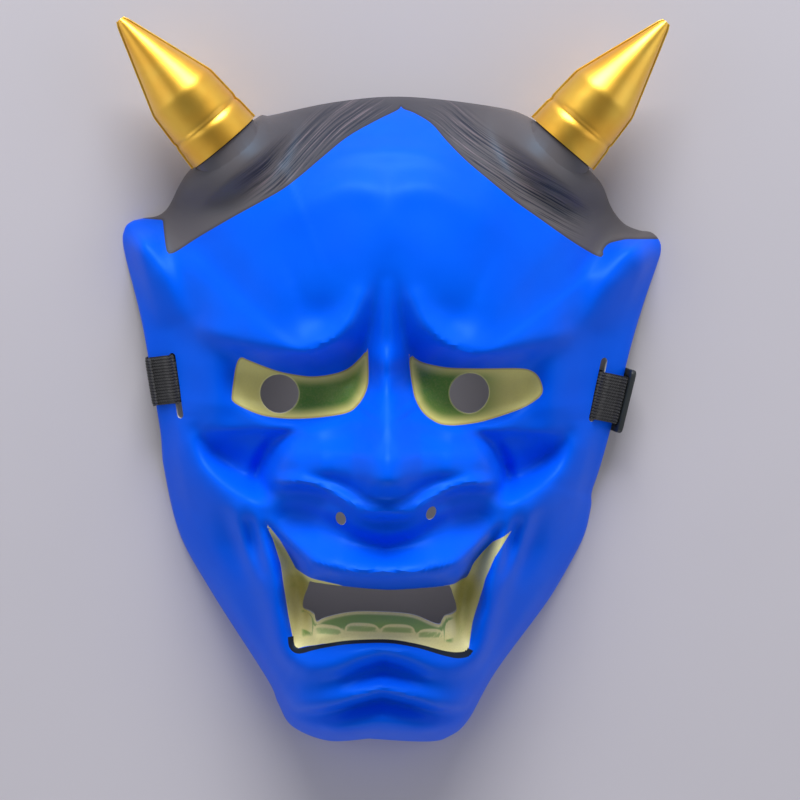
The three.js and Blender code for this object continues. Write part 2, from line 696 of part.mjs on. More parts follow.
// The strap's course: [middle, width direction] from its sewn end on the left to the one on the right
function strapCourse() {
  const left = strapFrame(-1);
  const right = strapFrame(1);
  const besideRim = (frame, start) => loopOverRim(frame, start).map(([outward, z]) => ({
    middle: strapPoint(frame, outward, z),
    across: frame.along.clone(),
  }));
  const apex = new THREE.Vector3(0, StrapApexY, StrapFloorHeight);
  const overTable = (frame) => {
    const start = strapPoint(frame, -StrapFloorInset, StrapFloorHeight);
    const pull = start.clone().addScaledVector(frame.outward, -StrapRimPull);
    const lead = apex.clone().add(new THREE.Vector3(frame.side * StrapApexPull, 0, 0));
    const curve = new THREE.CubicBezierCurve3(start, pull, lead, apex);
    return Array.from({ length: StrapFloorSteps + 1 }, (_, step) => {
      const tangent = curve.getTangent(step / StrapFloorSteps);
      const across = new THREE.Vector3(-tangent.y, tangent.x, 0).normalize();
      if (across.y < 0) across.negate();
      return { middle: curve.getPoint(step / StrapFloorSteps), across };
    });
  };
  return [
    ...besideRim(left, LeftLoop).reverse(),
    ...overTable(left),
    ...overTable(right).reverse().slice(1),
    ...besideRim(right, rightLoop()),
  ];
}

function strap() {
  const course = strapCourse();
  const positions = [];
  course.forEach(({ middle, across }, index) => {
    const before = course[Math.max(index - 1, 0)].middle;
    const after = course[Math.min(index + 1, course.length - 1)].middle;
    const tangent = after.clone().sub(before).normalize();
    const upward = new THREE.Vector3().crossVectors(across, tangent).normalize();
    for (const [sideways, raised] of [[-1, -1], [1, -1], [1, 1], [-1, 1]]) {
      const corner = middle.clone()
        .addScaledVector(across, (sideways * StrapWidth) / 2)
        .addScaledVector(upward, (raised * StrapThickness) / 2);
      positions.push(...corner.toArray());
    }
  });
  const indices = [];
  const last = (course.length - 1) * 4;
  for (let ring = 0; ring < last; ring += 4) {
    for (let corner = 0; corner < 4; corner += 1) {
      const next = (corner + 1) % 4;
      indices.push(ring + corner, ring + 4 + next, ring + next);
      indices.push(ring + corner, ring + 4 + corner, ring + 4 + next);
    }
  }
  indices.push(0, 2, 3, 0, 1, 2);
  indices.push(last, last + 3, last + 2, last, last + 2, last + 1);
  return geometryFrom(positions, indices);
}

function slider() {
  const frame = strapFrame(1);
  const halfLength = SliderLength / 2;
  const corner = SliderCorner;
  const outline = new THREE.Shape();
  outline.moveTo(-halfLength + corner, 0);
  outline.lineTo(halfLength - corner, 0);
  outline.quadraticCurveTo(halfLength, 0, halfLength, corner);
  outline.lineTo(halfLength, SliderHeight - corner);
  outline.quadraticCurveTo(halfLength, SliderHeight, halfLength - corner, SliderHeight);
  outline.lineTo(-halfLength + corner, SliderHeight);
  outline.quadraticCurveTo(-halfLength, SliderHeight, -halfLength, SliderHeight - corner);
  outline.lineTo(-halfLength, corner);
  outline.quadraticCurveTo(-halfLength, 0, -halfLength + corner, 0);
  const halfSlot = StrapWidth / 2 + SliderSlotRoom;
  for (const bottom of [SliderEdge, SliderEdge + SliderSlotHeight + SliderBarHeight]) {
    const slot = new THREE.Path();
    slot.moveTo(-halfSlot, bottom);
    slot.lineTo(-halfSlot, bottom + SliderSlotHeight);
    slot.lineTo(halfSlot, bottom + SliderSlotHeight);
    slot.lineTo(halfSlot, bottom);
    outline.holes.push(slot);
  }
  const plate = new THREE.ExtrudeGeometry(outline, {
    depth: SliderThickness,
    bevelEnabled: false,
    curveSegments: 3,
  });
  plate.translate(0, 0, -SliderThickness / 2);
  const place = strapPoint(frame, SliderOffset, SliderBottom);
  const facing = frame.outward.clone().multiplyScalar(Math.cos(SliderLean)).setZ(-Math.sin(SliderLean));
  plate.applyMatrix4(frameAlong(place, facing, new THREE.Vector3(0, 0, 1)));
  return plate;
}

function material(color, roughness, metalness) {
  return new THREE.MeshStandardMaterial({ color, roughness, metalness });
}

const mask = new THREE.Group();

function addPart(name, geometry, finish) {
  geometry.translate(FaceOrigin.x, FaceOrigin.y, FaceOrigin.z);
  const mesh = new THREE.Mesh(geometry, finish);
  mesh.name = name;
  mask.add(mesh);
}

addPart('mask_shell', shell(), material(ShellBlue, 0.38, 0));
addPart('horn_left', horn(-1), material(HornGold, 0.35, 0.6));
addPart('horn_right', horn(1), material(HornGold, 0.35, 0.6));
addPart('elastic_strap', strap(), material(StrapBlack, 0.9, 0));
addPart('strap_slider', slider(), material(SliderBlack, 0.45, 0));

export default mask;
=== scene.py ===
# Hannya mask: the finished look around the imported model.
# The mask lies on its rim, face up: +X is the viewer's right, +Y the forehead, +Z out of the face.
# Shapes are worked out in millimetres and stored in metres.

import math
import bmesh
import bpy
import numpy as np
from mathutils import Matrix, Vector


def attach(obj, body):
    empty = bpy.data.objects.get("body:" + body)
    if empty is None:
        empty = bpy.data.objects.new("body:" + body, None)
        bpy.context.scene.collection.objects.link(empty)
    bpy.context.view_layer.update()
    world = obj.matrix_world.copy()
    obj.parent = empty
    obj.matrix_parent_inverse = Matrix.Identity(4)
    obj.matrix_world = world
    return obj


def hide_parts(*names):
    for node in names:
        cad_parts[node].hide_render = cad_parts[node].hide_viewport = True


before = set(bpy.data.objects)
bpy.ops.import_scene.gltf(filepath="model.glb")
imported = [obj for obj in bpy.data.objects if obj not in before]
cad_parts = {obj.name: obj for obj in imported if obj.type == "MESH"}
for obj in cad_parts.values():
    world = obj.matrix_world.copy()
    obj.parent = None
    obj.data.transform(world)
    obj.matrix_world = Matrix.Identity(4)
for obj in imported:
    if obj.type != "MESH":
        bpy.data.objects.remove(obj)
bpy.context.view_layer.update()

MM = 0.001

# Shell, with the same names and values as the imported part
WALL_THICKNESS = 1.0
FACE_ORIGIN = Vector((-0.25, -1.15, 0))   # from the middle of the whole to the face's own origin
CENTRE_Y = -10.0              # height on the face where the outline is measured from
RIM_LIFT = 10.0               # how far the rim rises above the table beside the strap
RIM_TRIM = 0.06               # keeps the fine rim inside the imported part's
LIFT_CENTRE_Y = -1.8
LIFT_HALF_LENGTH = 48.0
DOME_EDGE = 0.62              # below 1 the wall stands up steeply from the rim
FACE_TURN = 0.03              # the carved face sits turned in its outline by this angle, in radians

RIM_OUTLINE = [               # seen from the front: from the chin up the left side and down the right
    (0, -131.4), (-15, -132.8), (-28.2, -128), (-33.8, -119.5), (-38.2, -110.6), (-59.4, -79.8),
    (-72.4, -57.8), (-78.7, -34), (-80.6, -18), (-87.6, 16.4), (-96, 44.4), (-96.2, 52.6), (-93.6, 55.6),
    (-90, 56.8), (-81.6, 60), (-72.6, 75.8), (-50, 94.8), (-44.8, 96.1), (-20.8, 102.1), (4, 105),
    (36.8, 102.8), (50, 99.2), (61.6, 89.8), (72.6, 80.9), (77.6, 75.6), (81.5, 67.8), (86.2, 62.4),
    (92, 60.1), (96.4, 59.6), (99.4, 57), (100.4, 53.5), (99, 47), (89.4, 15), (81.3, -26.2), (78.9, -36.8),
    (79, -42.7), (76.7, -54.3), (68.9, -70.6), (62.4, -81.6), (46, -105.7), (36.8, -123.7), (30, -129.9),
    (21.9, -132), (0, -131.4),
]
FRONT_DEPTH = [
    (-134, 47), (-122, 53), (-106, 55), (-88, 54), (-65, 54), (-40, 50), (-15, 45),
    (10, 45), (35, 48), (60, 50), (80, 47), (95, 42), (105, 38),
]
SIDE_FALL = [
    (-134, 0.012), (-100, 0.0090), (-75, 0.0075), (-50, 0.0062), (-30, 0.0048),
    (0, 0.0040), (30, 0.0036), (60, 0.0040), (80, 0.0050), (105, 0.0060),
]
DOME_SQUARENESS = [(-134, 7), (-110, 7), (-80, 5.8), (-40, 4.6), (0, 4.2), (50, 4.0), (105, 3.8)]

# The fine grid over the face
COLUMNS = 200
ROWS = 228
ROW_BIAS = 0.15               # sets more rows in the lower face, where the carving is
MIDDLE_PACE = 0.85            # cell size in the middle and at the rim, as a share of the mean
RIM_PACE = 0.45
CREASE_ROUNDS = 4             # passes that take the sharpness off crossing strokes
INNER_ROUNDS = 14             # passes that soften the inner face
LIFT_SPAN = (0.3, 0.9)        # shares of the half width between which the lift beside the strap grows
RIM_STEPS = 12                # fine steps between the points of the rim, and of a stroke's line
STROKE_STEPS = 6
STROKE_REACH = 3.2            # a stroke is worked out this many half widths around its line
RIM_FADE = 0.1                # share of the face, inwards from the rim, over which the carving fades out
EDGE_POWER = 40               # how squarely the horn shoulders end at the rim
LINE_STEPS = 4                # fine steps between the points of a painted line

# The carving, right half. Each stroke is a ridge or a groove along a line: its points, its rise, its half
# widths left and right of the direction of travel, and its power, where more gives a flatter top and a pair
# is for the left and the right.
CARVING = {
    "brow": ([(7.5, 36), (10.5, 30), (13.5, 24), (18, 19), (24, 15.6), (30, 14.2), (39, 14.6), (49, 16.4),
              (59, 19.1), (67, 21.5)],
             [1, 4, 8, 10.5, 11.8, 11.8, 11.2, 9.5, 6, 1.5],
             [4, 4.4, 5, 6, 8, 10.5, 13, 13, 11, 8], [3.8, 4.2, 4.2, 4, 3.6, 3.4, 3.4, 3.5, 3.6, 3.6],
             [1.5, 1.6]),
    "brow_mass": ([(16, 36), (28, 34), (40, 34), (52, 34)], [3, 3.5, 3, 1.5], 15, 13, 2),
    "forehead_bump": ([(0, 84), (14, 83), (26, 78)], [1.6, 1.4, 0.4], 3.5, 3.5, 2),
    "furrow": ([(2.6, 38), (4.4, 30), (5.8, 22), (7.2, 14.5)], [-0.6, -2, -2.6, -1.8], 2.8, 2.8, 2),
    "glabella": ([(0, 36), (0, 24), (0, 13)], [1, 2.6, 3.6], [2.6, 3.8, 5], [2.6, 3.8, 5], 3),
    "socket": ([(12, 5), (22, 0), (36, -1), (48, 1)], [-4, -6, -5.5, -3], [8, 9, 9, 8], [8, 9, 9, 8], 4),
    "socket_corner": ([(10, 13), (10, 4)], [-2, -4], 4, 4, 2),
    "lower_lid": ([(9, -4), (13, -9.5), (22, -12.5), (36, -12.5), (48, -9), (54, -2)],
                  [0.5, 2, 2.4, 2.2, 1.6, 0.5], 3, 3.2, 2),
    "temple": ([(62, 24), (61, 8), (60, -6), (62, -16)], [1, 4, 5, 3], [9, 10, 10, 9], 7, 2),
    "bridge": ([(0, 12), (0, 1), (0, -10), (0, -20), (0, -27)], [3, 8, 14, 20, 21.7],
               [3.4, 5, 8, 11, 11], [3.4, 5, 8, 11, 11], 1.8),
    "nose_body": ([(0, 0), (0, -10), (0, -20)], [2, 7, 9], [10, 16, 22], [10, 16, 22], 2.4),
    "nose_wing": ([(12, -25), (22, -25), (30, -26.5), (35.5, -29.5)], [4.6, 11, 11.2, 8],
                  [10, 10.5, 9.5, 6.5], [6, 6, 5.5, 5], [2.4, 2.2]),
    "wing_edge": ([(25, -14.4), (31, -17), (35.5, -22), (38, -28)], [1, 2.2, 2.6, 1.8], 1.8, 4, 2),
    "nose_rim": ([(41, -33), (33, -31.4), (26, -31.8), (19.5, -33.6), (14, -36.2), (8, -39), (0, -39.8)],
                 [3, 5, 6, 6.5, 7, 7, 6.5], 3.4, 3, 2),
    "muzzle": ([(41, -38), (31, -37.2), (23, -38.7), (16, -41.4), (8, -45), (0, -46.8)],
               [2, 3.2, 4, 5, 5, 4.5], [3, 3.2, 3.2, 3.2, 3.4, 3.4], [3, 3.4, 3.6, 3.6, 3.6, 3.6], 2),
    "cheek_hollow": ([(66, -17), (60, -23), (53, -28), (47, -31.5), (42, -33.5)],
                     [-2.5, -6.5, -8.5, -8.5, -5], [4, 5, 5.5, 5.5, 4], [5, 8, 11, 12, 9], [2, 1.7]),
    "eye_bag": ([(27, -13.6), (36, -13.6), (50, -14), (62, -16)], [0.8, 2, 2, 0.8], 3.5, 1.9, [2, 1.6]),
    "cheek_crest": ([(69, -11), (68, -21), (63.5, -29.5), (56, -35.2), (48, -39), (41, -41.5)],
                    [1.5, 4, 5.5, 6, 5.5, 3], [9, 12, 15, 15, 11, 6], [5, 5, 5, 5, 4.5, 4], [2, 1.7]),
    "lip_valley": ([(42, -42.5), (36, -44.5), (28, -46), (16, -49.5), (8, -52), (0, -54)],
                   [-1, -1.8, -2.2, -2.4, -3.4, -5.5], [3.4, 3.6, 3.8, 3.8, 3.4, 2.8],
                   [3.4, 3.6, 4, 4, 4, 4], 1.8),
    "upper_lip": ([(38, -49.3), (32, -52.8), (26, -55.6), (18, -57), (9, -57.4), (0, -57.5)],
                  [3.5, 7.5, 10.5, 12, 12, 11.5], [3.4, 3.8, 4.2, 4.8, 5, 5],
                  [8, 11, 13, 13.5, 13, 12], [2.4, 1.8]),
    "lip_roll": ([(36, -50), (31, -53.3), (25, -56.2), (16, -57.6), (0, -58)], [0.8, 1.2, 1.4, 1.4, 1.4],
                 2.2, 2.4, 2),
    "under_lip": ([(24, -62), (10, -63.5), (0, -64)], [7, 9, 9], 5, 5.5, 3),
    "mouth_pit": ([(0, -73), (14, -73), (25, -73)], [-9, -9, -9], 8, [12, 12, 11], 5),
    "mouth_side": ([(28, -84), (29.5, -74), (31.5, -64), (36, -55), (41, -48.5)], [-8, -9, -9, -6, -2.5],
                   [3.5, 4, 4, 3.2, 2], [3.5, 4, 4, 3, 1.8], 3),
    "lip_rim": ([(45, -45), (42.3, -52), (39.6, -60), (37.6, -69), (36, -79), (35, -88),
                 (32, -94), (25, -96), (16, -94), (8, -91), (0, -89.8)],
                [1, 3, 4.5, 5, 5, 5, 5, 4.5, 4.5, 4.5, 4.5], [3, 4, 5, 5, 5, 5, 5, 5, 5, 4.5, 4],
                [1.8, 2, 2.2, 2.4, 2.4, 3, 4, 4.5, 4, 3, 2.6], 2.2),
    "fold_valley": ([(47.5, -47), (46, -55), (43.3, -64)], [-2.5, -4.5, -1.5], 2.2, 2, 2),
    "fold": ([(53, -44), (49.5, -52), (45, -63), (41.5, -74), (38.5, -86), (35, -96)],
             [1.5, 2.5, 2.5, 2, 1.5, 1], 4, 3, 2),
    "cheek_valley": ([(55, -46), (53, -56), (49, -66)], [-2, -3.5, -1], [4, 5, 4], 3, 2),
    "teeth": ([(0, -80.6), (13, -81.8), (24, -84.6)], [4, 4, 3.5], 3, [3, 3, 2.6], 3),
    "fang": ([(24.6, -84.5), (24.4, -80.5)], [2.4, 1.2], [2.2, 1.6], [2.2, 1.6], 2),
    "chin_valley": ([(0, -98.5), (8, -100.5), (16, -103)], [-6.5, -4.5, -1], [7, 6, 5], 3.5, [1.8, 1.8]),
    "chin_shelf": ([(0, -103.8), (9.5, -106.6), (19, -110.2), (27, -112.6), (33, -114)],
                   [4.5, 4.8, 4.6, 3.6, 1.5], [4.5, 5, 5.5, 5, 4], 2.6, [2, 1.6]),
    "chin": ([(0, -118.5), (14, -121), (22, -122.5)], [6, 5.4, 2.5], 6, 8, 2),
    "jaw": ([(59, -75), (52.5, -89), (45, -99.5), (38, -109.5)], [1, 2.5, 3, 1.5],
            [4.5, 5, 5, 5], [7, 8, 8, 6], 2),
    "ear": ([(96, 53), (87, 50), (79, 39), (73, 22)], [8, 9, 6, 0], [14, 15, 13, 8], [4.5, 5, 5, 5], 2),
    "ear_valley": ([(86, 58), (78, 47), (72, 34)], [-2, -3, -1], [5, 6, 6], [5, 6, 6], 2),
    "forehead_swell": ([(0, 68.2), (7, 71.5), (16, 71.8), (28, 66), (38, 58)], [0.9, 2.2, 2.2, 1.4, 0.4],
                       4.5, 7, 1.8),
    "wing_fold": ([(27, -12.6), (34, -15.6), (38.8, -20.3), (42.4, -26.5), (43.8, -32), (42.8, -37.5)],
                  [-0.8, -3.4, -6, -7.5, -6.5, -3], 3, [2.4, 2.6, 2.8, 3, 3, 2.4], [2, 1.7]),
    "rim_line": ([(39, -31.8), (32.6, -30.6), (26, -31), (19.5, -32.8), (14.5, -35.2), (8.5, -38),
                  (0, -38.8)], [1, 2.2, 2.4, 2.2, 1.8, 1.6, 1.2], 1.7, 1.8, 1.8),
    "chin_crease": ([(0, -109), (9.5, -111.6), (19, -114.8), (27, -117), (33, -118.5)],
                    [-6, -6, -5, -3.6, -1.2], 3, 3.8, 1.8),
}

# Openings
EYE_HOLES = [(-37.4, -2.8, 6.8), (29.6, 0.2, 7.1)]
NOSTRIL_HOLES = [(-14.5, -43.3, 0.25), (16.5, -40.2, -0.35)]
NOSTRIL_HALF_WIDTH = 1.7
NOSTRIL_HALF_LENGTH = 2.4
EYE_HOLE_SIDES = 72
NOSTRIL_SIDES = 28
LOW_CUT = 20                  # the punches reach from here, or from NOSTRIL_LOW_CUT, to beyond the face
NOSTRIL_LOW_CUT = 40
HIGH_CUT = 90
MOUTH_OPENING = [
    (-24.1, -68), (-18.1, -67.9), (-7.8, -68.5), (3.4, -69.1), (12.4, -68.5), (23.9, -67.7), (25.4, -68.2),
    (26.8, -71.5), (28.6, -76.3), (28.4, -78.6), (24.6, -78.6), (23.3, -79.5), (22.4, -81), (21.4, -81.2),
    (18.8, -80.4), (12.9, -78.2), (5.2, -77.4), (-5.1, -77.5), (-11.8, -78.5), (-18.4, -80.6),
    (-20.9, -82), (-21.7, -81.2), (-22.2, -80), (-25, -79.8), (-26.1, -79), (-26, -76.1), (-24.8, -71.7),
]
SLOT_LENGTH = 23.6
SLOT_WIDTH = 3.0
SLOT_INSET = 8.8
SLOT_DEPTH = 24.0
SLOT_END_FLAT = 0.05          # half width of the flat left at its round ends
SLOT_LEAN = 0.35              # outward share of the way the slots are punched
SLOT_SHIFT = {-1: -2.5, 1: 2.0}    # how far a slot's middle lies above the strap's

# Paint, as outlines on the face
HAIR_LINE = [
    (-82.1, 56.5), (-80.3, 47.6), (-79, 44.6), (-76.3, 45.4), (-69.5, 50.2), (-62.6, 54.6), (-54.5, 59.6),
    (-45.9, 64.7), (-38.6, 69.3), (-32.2, 74.7), (-25.6, 80.8), (-17, 88.5), (-7.5, 94.6), (1, 99.4),
    (2.1, 100.9), (3.2, 99.8), (6.9, 98.5), (13, 94.8), (18.4, 88.6), (25.1, 82), (33.8, 75.1), (42.9, 68.4),
    (53, 62.1), (62.3, 56.4), (70.2, 52.2), (76.4, 49.7), (77.2, 52.4), (79.7, 54.9), (85.9, 56.6),
]
HAIR_BEYOND = [(120, 58), (120, 150), (-120, 150), (-120, 58)]
EYE_PAINT = [
    [(-7.1, 14.9), (-10, 10.8), (-13.8, 7.2), (-19.8, 4.9), (-26.5, 3.9), (-33.2, 4.4), (-38, 5.2),
     (-43.4, 6.8), (-48.6, 8.6), (-51.6, 9.4), (-53.1, 6.2), (-53.8, 1), (-54.2, -4.1), (-53.7, -6.4),
     (-49.6, -8.6), (-42.7, -10.7), (-34.3, -11.2), (-25.9, -10.5), (-17.7, -9), (-12.5, -7.2),
     (-9.6, -4.4), (-7.3, -0.5), (-6.4, 4.4)],
    [(7.3, 13.9), (11.1, 11.1), (16.2, 9.8), (22.9, 9.1), (34.9, 9.3), (47.2, 9.5), (51.5, 8.7), (54, 6.9),
     (55.5, 4), (55.9, 1.3), (54.4, -1.1), (49.7, -4.3), (42.7, -7.1), (33.9, -9.6), (26.8, -10.6),
     (21.6, -10.7), (17.6, -9.8), (13.2, -6.9), (10.2, -2.3), (8.9, 3.3), (7.9, 9.1)],
]
MOUTH_PAINT = [
    (-40.9, -47.1), (-37.7, -53.9), (-34.6, -62.5), (-33.2, -70.2), (-31.4, -79.9), (-29.7, -86.8),
    (-28.4, -91.9), (-19.2, -88.8), (-5.1, -86.9), (9.1, -87), (20, -89.1), (30.7, -91.7), (32.7, -91.2),
    (34.1, -82), (36, -74.5), (37.7, -64.9), (40.5, -57.4), (43.7, -52.4), (46.9, -48), (40.2, -52),
    (36.9, -56), (33.5, -60.6), (31.8, -66.1), (27.9, -67.2), (23.2, -67.7), (12, -72), (0, -73), (-8.6, -70),
    (-14.4, -67.4), (-26.5, -65.4), (-29.1, -64.4), (-31.8, -59.6), (-34.9, -54.1),
]
LIP_LINE = [
    (-30.1, -87.7), (-29.5, -91.1), (-26.9, -92.4), (-20.3, -90), (-11.5, -87.9), (-2.7, -86.9), (6.2, -86.8),
    (15.1, -88.2), (24.4, -90.9), (29.2, -91.9), (32.6, -91.6), (33.6, -90.1),
]
LIP_LINE_HALF_WIDTH = [1.0, 1.0, 0.85, 0.7, 0.6, 0.55, 0.55, 0.6, 0.8, 1.0, 1.05, 1.05]
# Four printed teeth and the two fangs: left, right, top, bottom
# The teeth are printed; their pale tops are a painted highlight and the green patch in each of the four is
# painted shade
TEETH = [
    (-22.6, -11.6, -82.4, -88.6), (-11.6, 0.9, -81.0, -86.8), (0.9, 13.5, -81.0, -87.2),
    (13.5, 23.8, -82.4, -89.4), (-27.2, -22.6, -80.6, -86), (23.8, 28.4, -80.2, -86),
]
TOOTH_POWERS = (0.7, 0.35)    # less than 1 makes the outline of a tooth squarer, sideways and upwards
# Painted shade: the green patch under a tooth's pale top
TOOTH_PATCH = (0.9, 1.0, 1.0)  # the green in a tooth: in from its sides, down from its top, half height

# Horns
HORN_BASES = {-1: Vector((-60.7, 84.9, 19.5)), 1: Vector((60.2, 89.8, 19.5))}
HORN_DIRECTIONS = {-1: Vector((-0.672, 0.734, 0.1)).normalized(), 1: Vector((0.61, 0.786, 0.1)).normalized()}
HORN_LENGTH = 56.3
HORN_WALL = 1.0
HORN_PROFILE = [(0, 14.1), (22.8, 12.7), (54, 2.1), (55.7, 1.5), (HORN_LENGTH, 0.6)]
HORN_RING = (9.6, 0.35, 0.9)   # a pressed groove round the base: place along the horn, depth, half width
HORN_STEPS = 72
HORN_LINE_POINTS = 114
HORN_TIP = 6.0                # solid part at the tip, where the hollow narrows to a point halfway
CORNER_EASING = (-1, -0.5, 0, 0.5, 1)   # the profile is the mean of itself shifted by these
SHOULDER_DROP = 1.6
SHOULDER_RISE = 0.14
SHOULDER_FLATNESS = 28.0
SHOULDER_LENGTH = 12.0
SHOULDER_FADE = 0.8
SHOULDER_BLEND = 6.0
FLANGE_WIDTH = 0.7
FLANGE_THICKNESS = 1.0
FLANGE_BEVEL = 0.3
NECK_RADIUS = 13.2
NECK_DEPTH = 12.0
NECK_STEPS = 48
NECK_END = -0.4
PLUG_END = 5.0
PLUG_GAP = 0.75
UNDER_TABLE = -6.0            # how far down the body reaches that trims a neck inside the shell

# Strap and slider
STRAP_Y = -1.8
STRAP_WIDTH = 17.5
STRAP_THICKNESS = 1.0
STRAP_CLEARANCE = 0.4
STRAP_FLOOR_HEIGHT = 0.8      # middle of the strap where it lies on the table
STRAP_FLOOR_INSET = 7.0       # its way over the table starts this far inside the rim
STRAP_APEX_Y = 42.0
STRAP_RIM_PULL = 34.0         # how far it holds its direction at the rim and at its middle
STRAP_APEX_PULL = 42.0
STRAP_FLOOR_STEPS = 9
STRAP_EDGE_PACE = 1.3         # spacing of its points over the edge strip of the shell
STRAP_ON_SHELL = (-1.2, 2.4 - SLOT_INSET)   # where it lies on that strip, outward from the rim
RIM_GUESS = 80.0              # the rim beside the strap is found from here, in this many passes
RIM_PASSES = 20
RING_RADIUS = 1.2             # ring over which the shell's height is judged, and where it starts to close up
RING_FADE = 8.0
# Middle line of the strap on its way up past the rim on the left: distance outward from the rim, height
LEFT_LOOP = [
    (-4, 0.9), (-1.6, 1.2), (0.1, 2.5), (0.9, 4.6), (1.05, 7.2), (1.0, 9.8), (0.75, 12.2), (0.35, 14.4),
]
# The same below the slot: distance outward from the slot, height above it or above the table
SLOT_PASSAGE = [(0.9, 1.0), (-0.1, -0.5), (-0.7, -2.4), (-1.0, -5)]
SEWN_END = [(-1.3, 6), (-2.2, 3.7), (-4.4, 2.5), (-8, 2.3), (-20, 2.3)]
SLIDER_LENGTH = 23.5
SLIDER_HEIGHT = 13.0
SLIDER_THICKNESS = 2.0
SLIDER_OFFSET = 0.35          # from the rim to the foot of the slider, which leans outward
SLIDER_LEAN = 0.21
SLIDER_BOTTOM = 0.6
SLIDER_CORNER = 2.0
SLIDER_BEVEL = 0.45
SLIDER_EDGE = 1.6             # from its lower edge to the first slot
SLIDER_SLOT_HEIGHT = 3.0
SLIDER_SLOT_ROOM = 0.6
SLIDER_BAR_HEIGHT = 3.2
# Middle line of the strap through the slider: distance in front of the plate's middle, height on the plate
SLIDER_WEAVE = [
    (-1.9, 2.5), (0, 3.1), (1.35, 3.45), (1.95, 4.3), (1.95, 5.2), (1.95, 7.2), (1.95, 8.1), (1.35, 8.95),
    (0, 9.3), (-1.35, 9.7), (-1.95, 10.6), (-1.9, 11.8),
]
SLIDER_APPROACH = [(-4, 0.95), (-2.6, 1.7)]

# Camera, read from the photo, and the frame it is worked out for
CAMERA_YAW = math.radians(2.5)
CAMERA_PITCH = math.radians(4.0)
CAMERA_ROLL = math.radians(2.4)
CAMERA_TARGET = Vector((5, -3, 40))
CAMERA_DISTANCE = 860.0
CAMERA_FOCAL_PIXELS = 2449.0
PHOTO_PIXELS = 800
SENSOR_WIDTH = 36.0


def colour(red, green, blue):
    """A colour as read from a picture, 0 to 255, made linear."""
    shares = (value / 255 for value in (red, green, blue))
    return (*(s / 12.92 if s <= 0.04045 else ((s + 0.055) / 1.055) ** 2.4 for s in shares), 1.0)


# Further named values of the pieces
OUTSIDE, INSIDE = 0, 1        # the shell's two finishes: painted, and bare white plastic
SIDE_WORD = {-1: "left", 1: "right"}
PLUG_RADIUS = HORN_PROFILE[0][1] - HORN_WALL - PLUG_GAP
RELIEF_RADIUS = 1.6           # how far around a point its relief is judged
# Dents of a horn: place along it, angle around it, half length, half angle, depth
HORN_DENTS = [
    (9, 1.25, 1.3, 0.9, 0.5), (15, 1.75, 5.5, 0.55, 0.35), (4, 2.1, 3.2, 0.35, 0.35), (26, 1.1, 8, 0.5, 0.25),
]
LIP_LINE_RUN_ON = 12          # how far the black line is thought on past its ends
PRINT_EDGE = 0.12             # softness of the edge of a printed area
HAIR_CROWN = 42               # fine step of the hair's lower edge that lies under the crown
STRAP_STEPS = 5               # fine steps between the points of the strap's course
STRAP_ROWS = 61
STRAP_EDGE_THINNING = 0.55    # share of its thickness that is lost at its very edges
STRAP_RIB_HEIGHT = 0.06
STRAP_RIB_PITCH = 1.1
STRAP_PICK_PITCH = 0.8
STITCHES = 9
STITCH_SIZE = (0.45, 0.9, 0.4)
STITCH_START = 2.5
STITCH_ROW_GAP = 2.2

BLUE = colour(0, 96, 252)
BLUE_DEEP = colour(0, 91, 247)
HAIR = colour(100, 95, 97)
# Painted shade of the hair round the crown
HAIR_CROWN_PAINTED_SHADE = colour(72, 69, 75)
HAIR_LIGHT = colour(124, 110, 118)
HAIR_EDGE = colour(48, 46, 56)
EYE_TAN = colour(212, 204, 122)
EYE_GREEN = colour(92, 132, 56)
EYE_EDGE = colour(150, 128, 74)
EYE_GOLD = colour(186, 170, 110)
MOUTH_GOLD = colour(212, 216, 134)
MOUTH_GREEN = colour(148, 178, 102)
MOUTH_TAN = colour(240, 231, 160)
TOOTH_LIGHT = colour(240, 231, 164)
LINE_BLACK = colour(36, 36, 46)
WHITE = colour(232, 232, 236)
WHITE_SHADE = colour(222, 222, 228)
GOLD = (1.0, 0.63, 0.09, 1)
GOLD_DEEP = (0.98, 0.52, 0.055, 1)
WEBBING = colour(50, 50, 54)
WEBBING_DARK = colour(24, 24, 27)
SLIDER = colour(44, 50, 52)
SLIDER_DARK = colour(30, 35, 37)
FLOOR = colour(208, 204, 212)
FLOOR_SHADE = colour(200, 197, 205)

FLOOR_HALF_WIDTH = 1500
MASK_MIDDLE = (0, 0, 0.03)
PANEL_TINT = (0.92, 0.94, 1)
# Studio lights, in metres: name, place, aim, width and length, watts, tint
LIGHTS = [
    ("window", (-0.08, 1.75, 0.92), MASK_MIDDLE, (1.2, 0.9), 42, (1, 1, 1)),
    ("left_panel", (-0.95, 0.1, 0.5), MASK_MIDDLE, (0.5, 0.9), 1.0, PANEL_TINT),
    ("right_panel", (0.95, 0.15, 0.5), MASK_MIDDLE, (0.5, 0.9), 1.0, PANEL_TINT),
    ("low_fill", (0, -1.3, 0.35), MASK_MIDDLE, (1.2, 0.3), 2.4, (1, 1, 1)),
    ("under_glow", (0, -0.02, 0.026), (0, -0.02, 0), (0.07, 0.11), 0.005, (1, 1, 1)),
]


def smooth_step(low, high, value):
    share = np.clip((value - low) / (high - low), 0, 1)
    return share * share * (3 - 2 * share)


def table_value(table, position):
    """Smooth value from a table of (position, value) rows."""
    at, value = np.array(table, float).T
    slope = np.empty_like(value)
    slope[1:-1] = (value[2:] - value[:-2]) / (at[2:] - at[:-2])
    slope[0] = (value[1] - value[0]) / (at[1] - at[0])
    slope[-1] = (value[-1] - value[-2]) / (at[-1] - at[-2])
    row = np.clip(np.searchsorted(at, position) - 1, 0, len(at) - 2)
    span = at[row + 1] - at[row]
    share = np.clip((position - at[row]) / span, 0, 1)
    rest = 1 - share
    return (value[row] * (1 + 2 * share) * rest ** 2 + value[row + 1] * (3 - 2 * share) * share ** 2
            + slope[row] * span * share * rest ** 2 - slope[row + 1] * span * share ** 2 * rest)


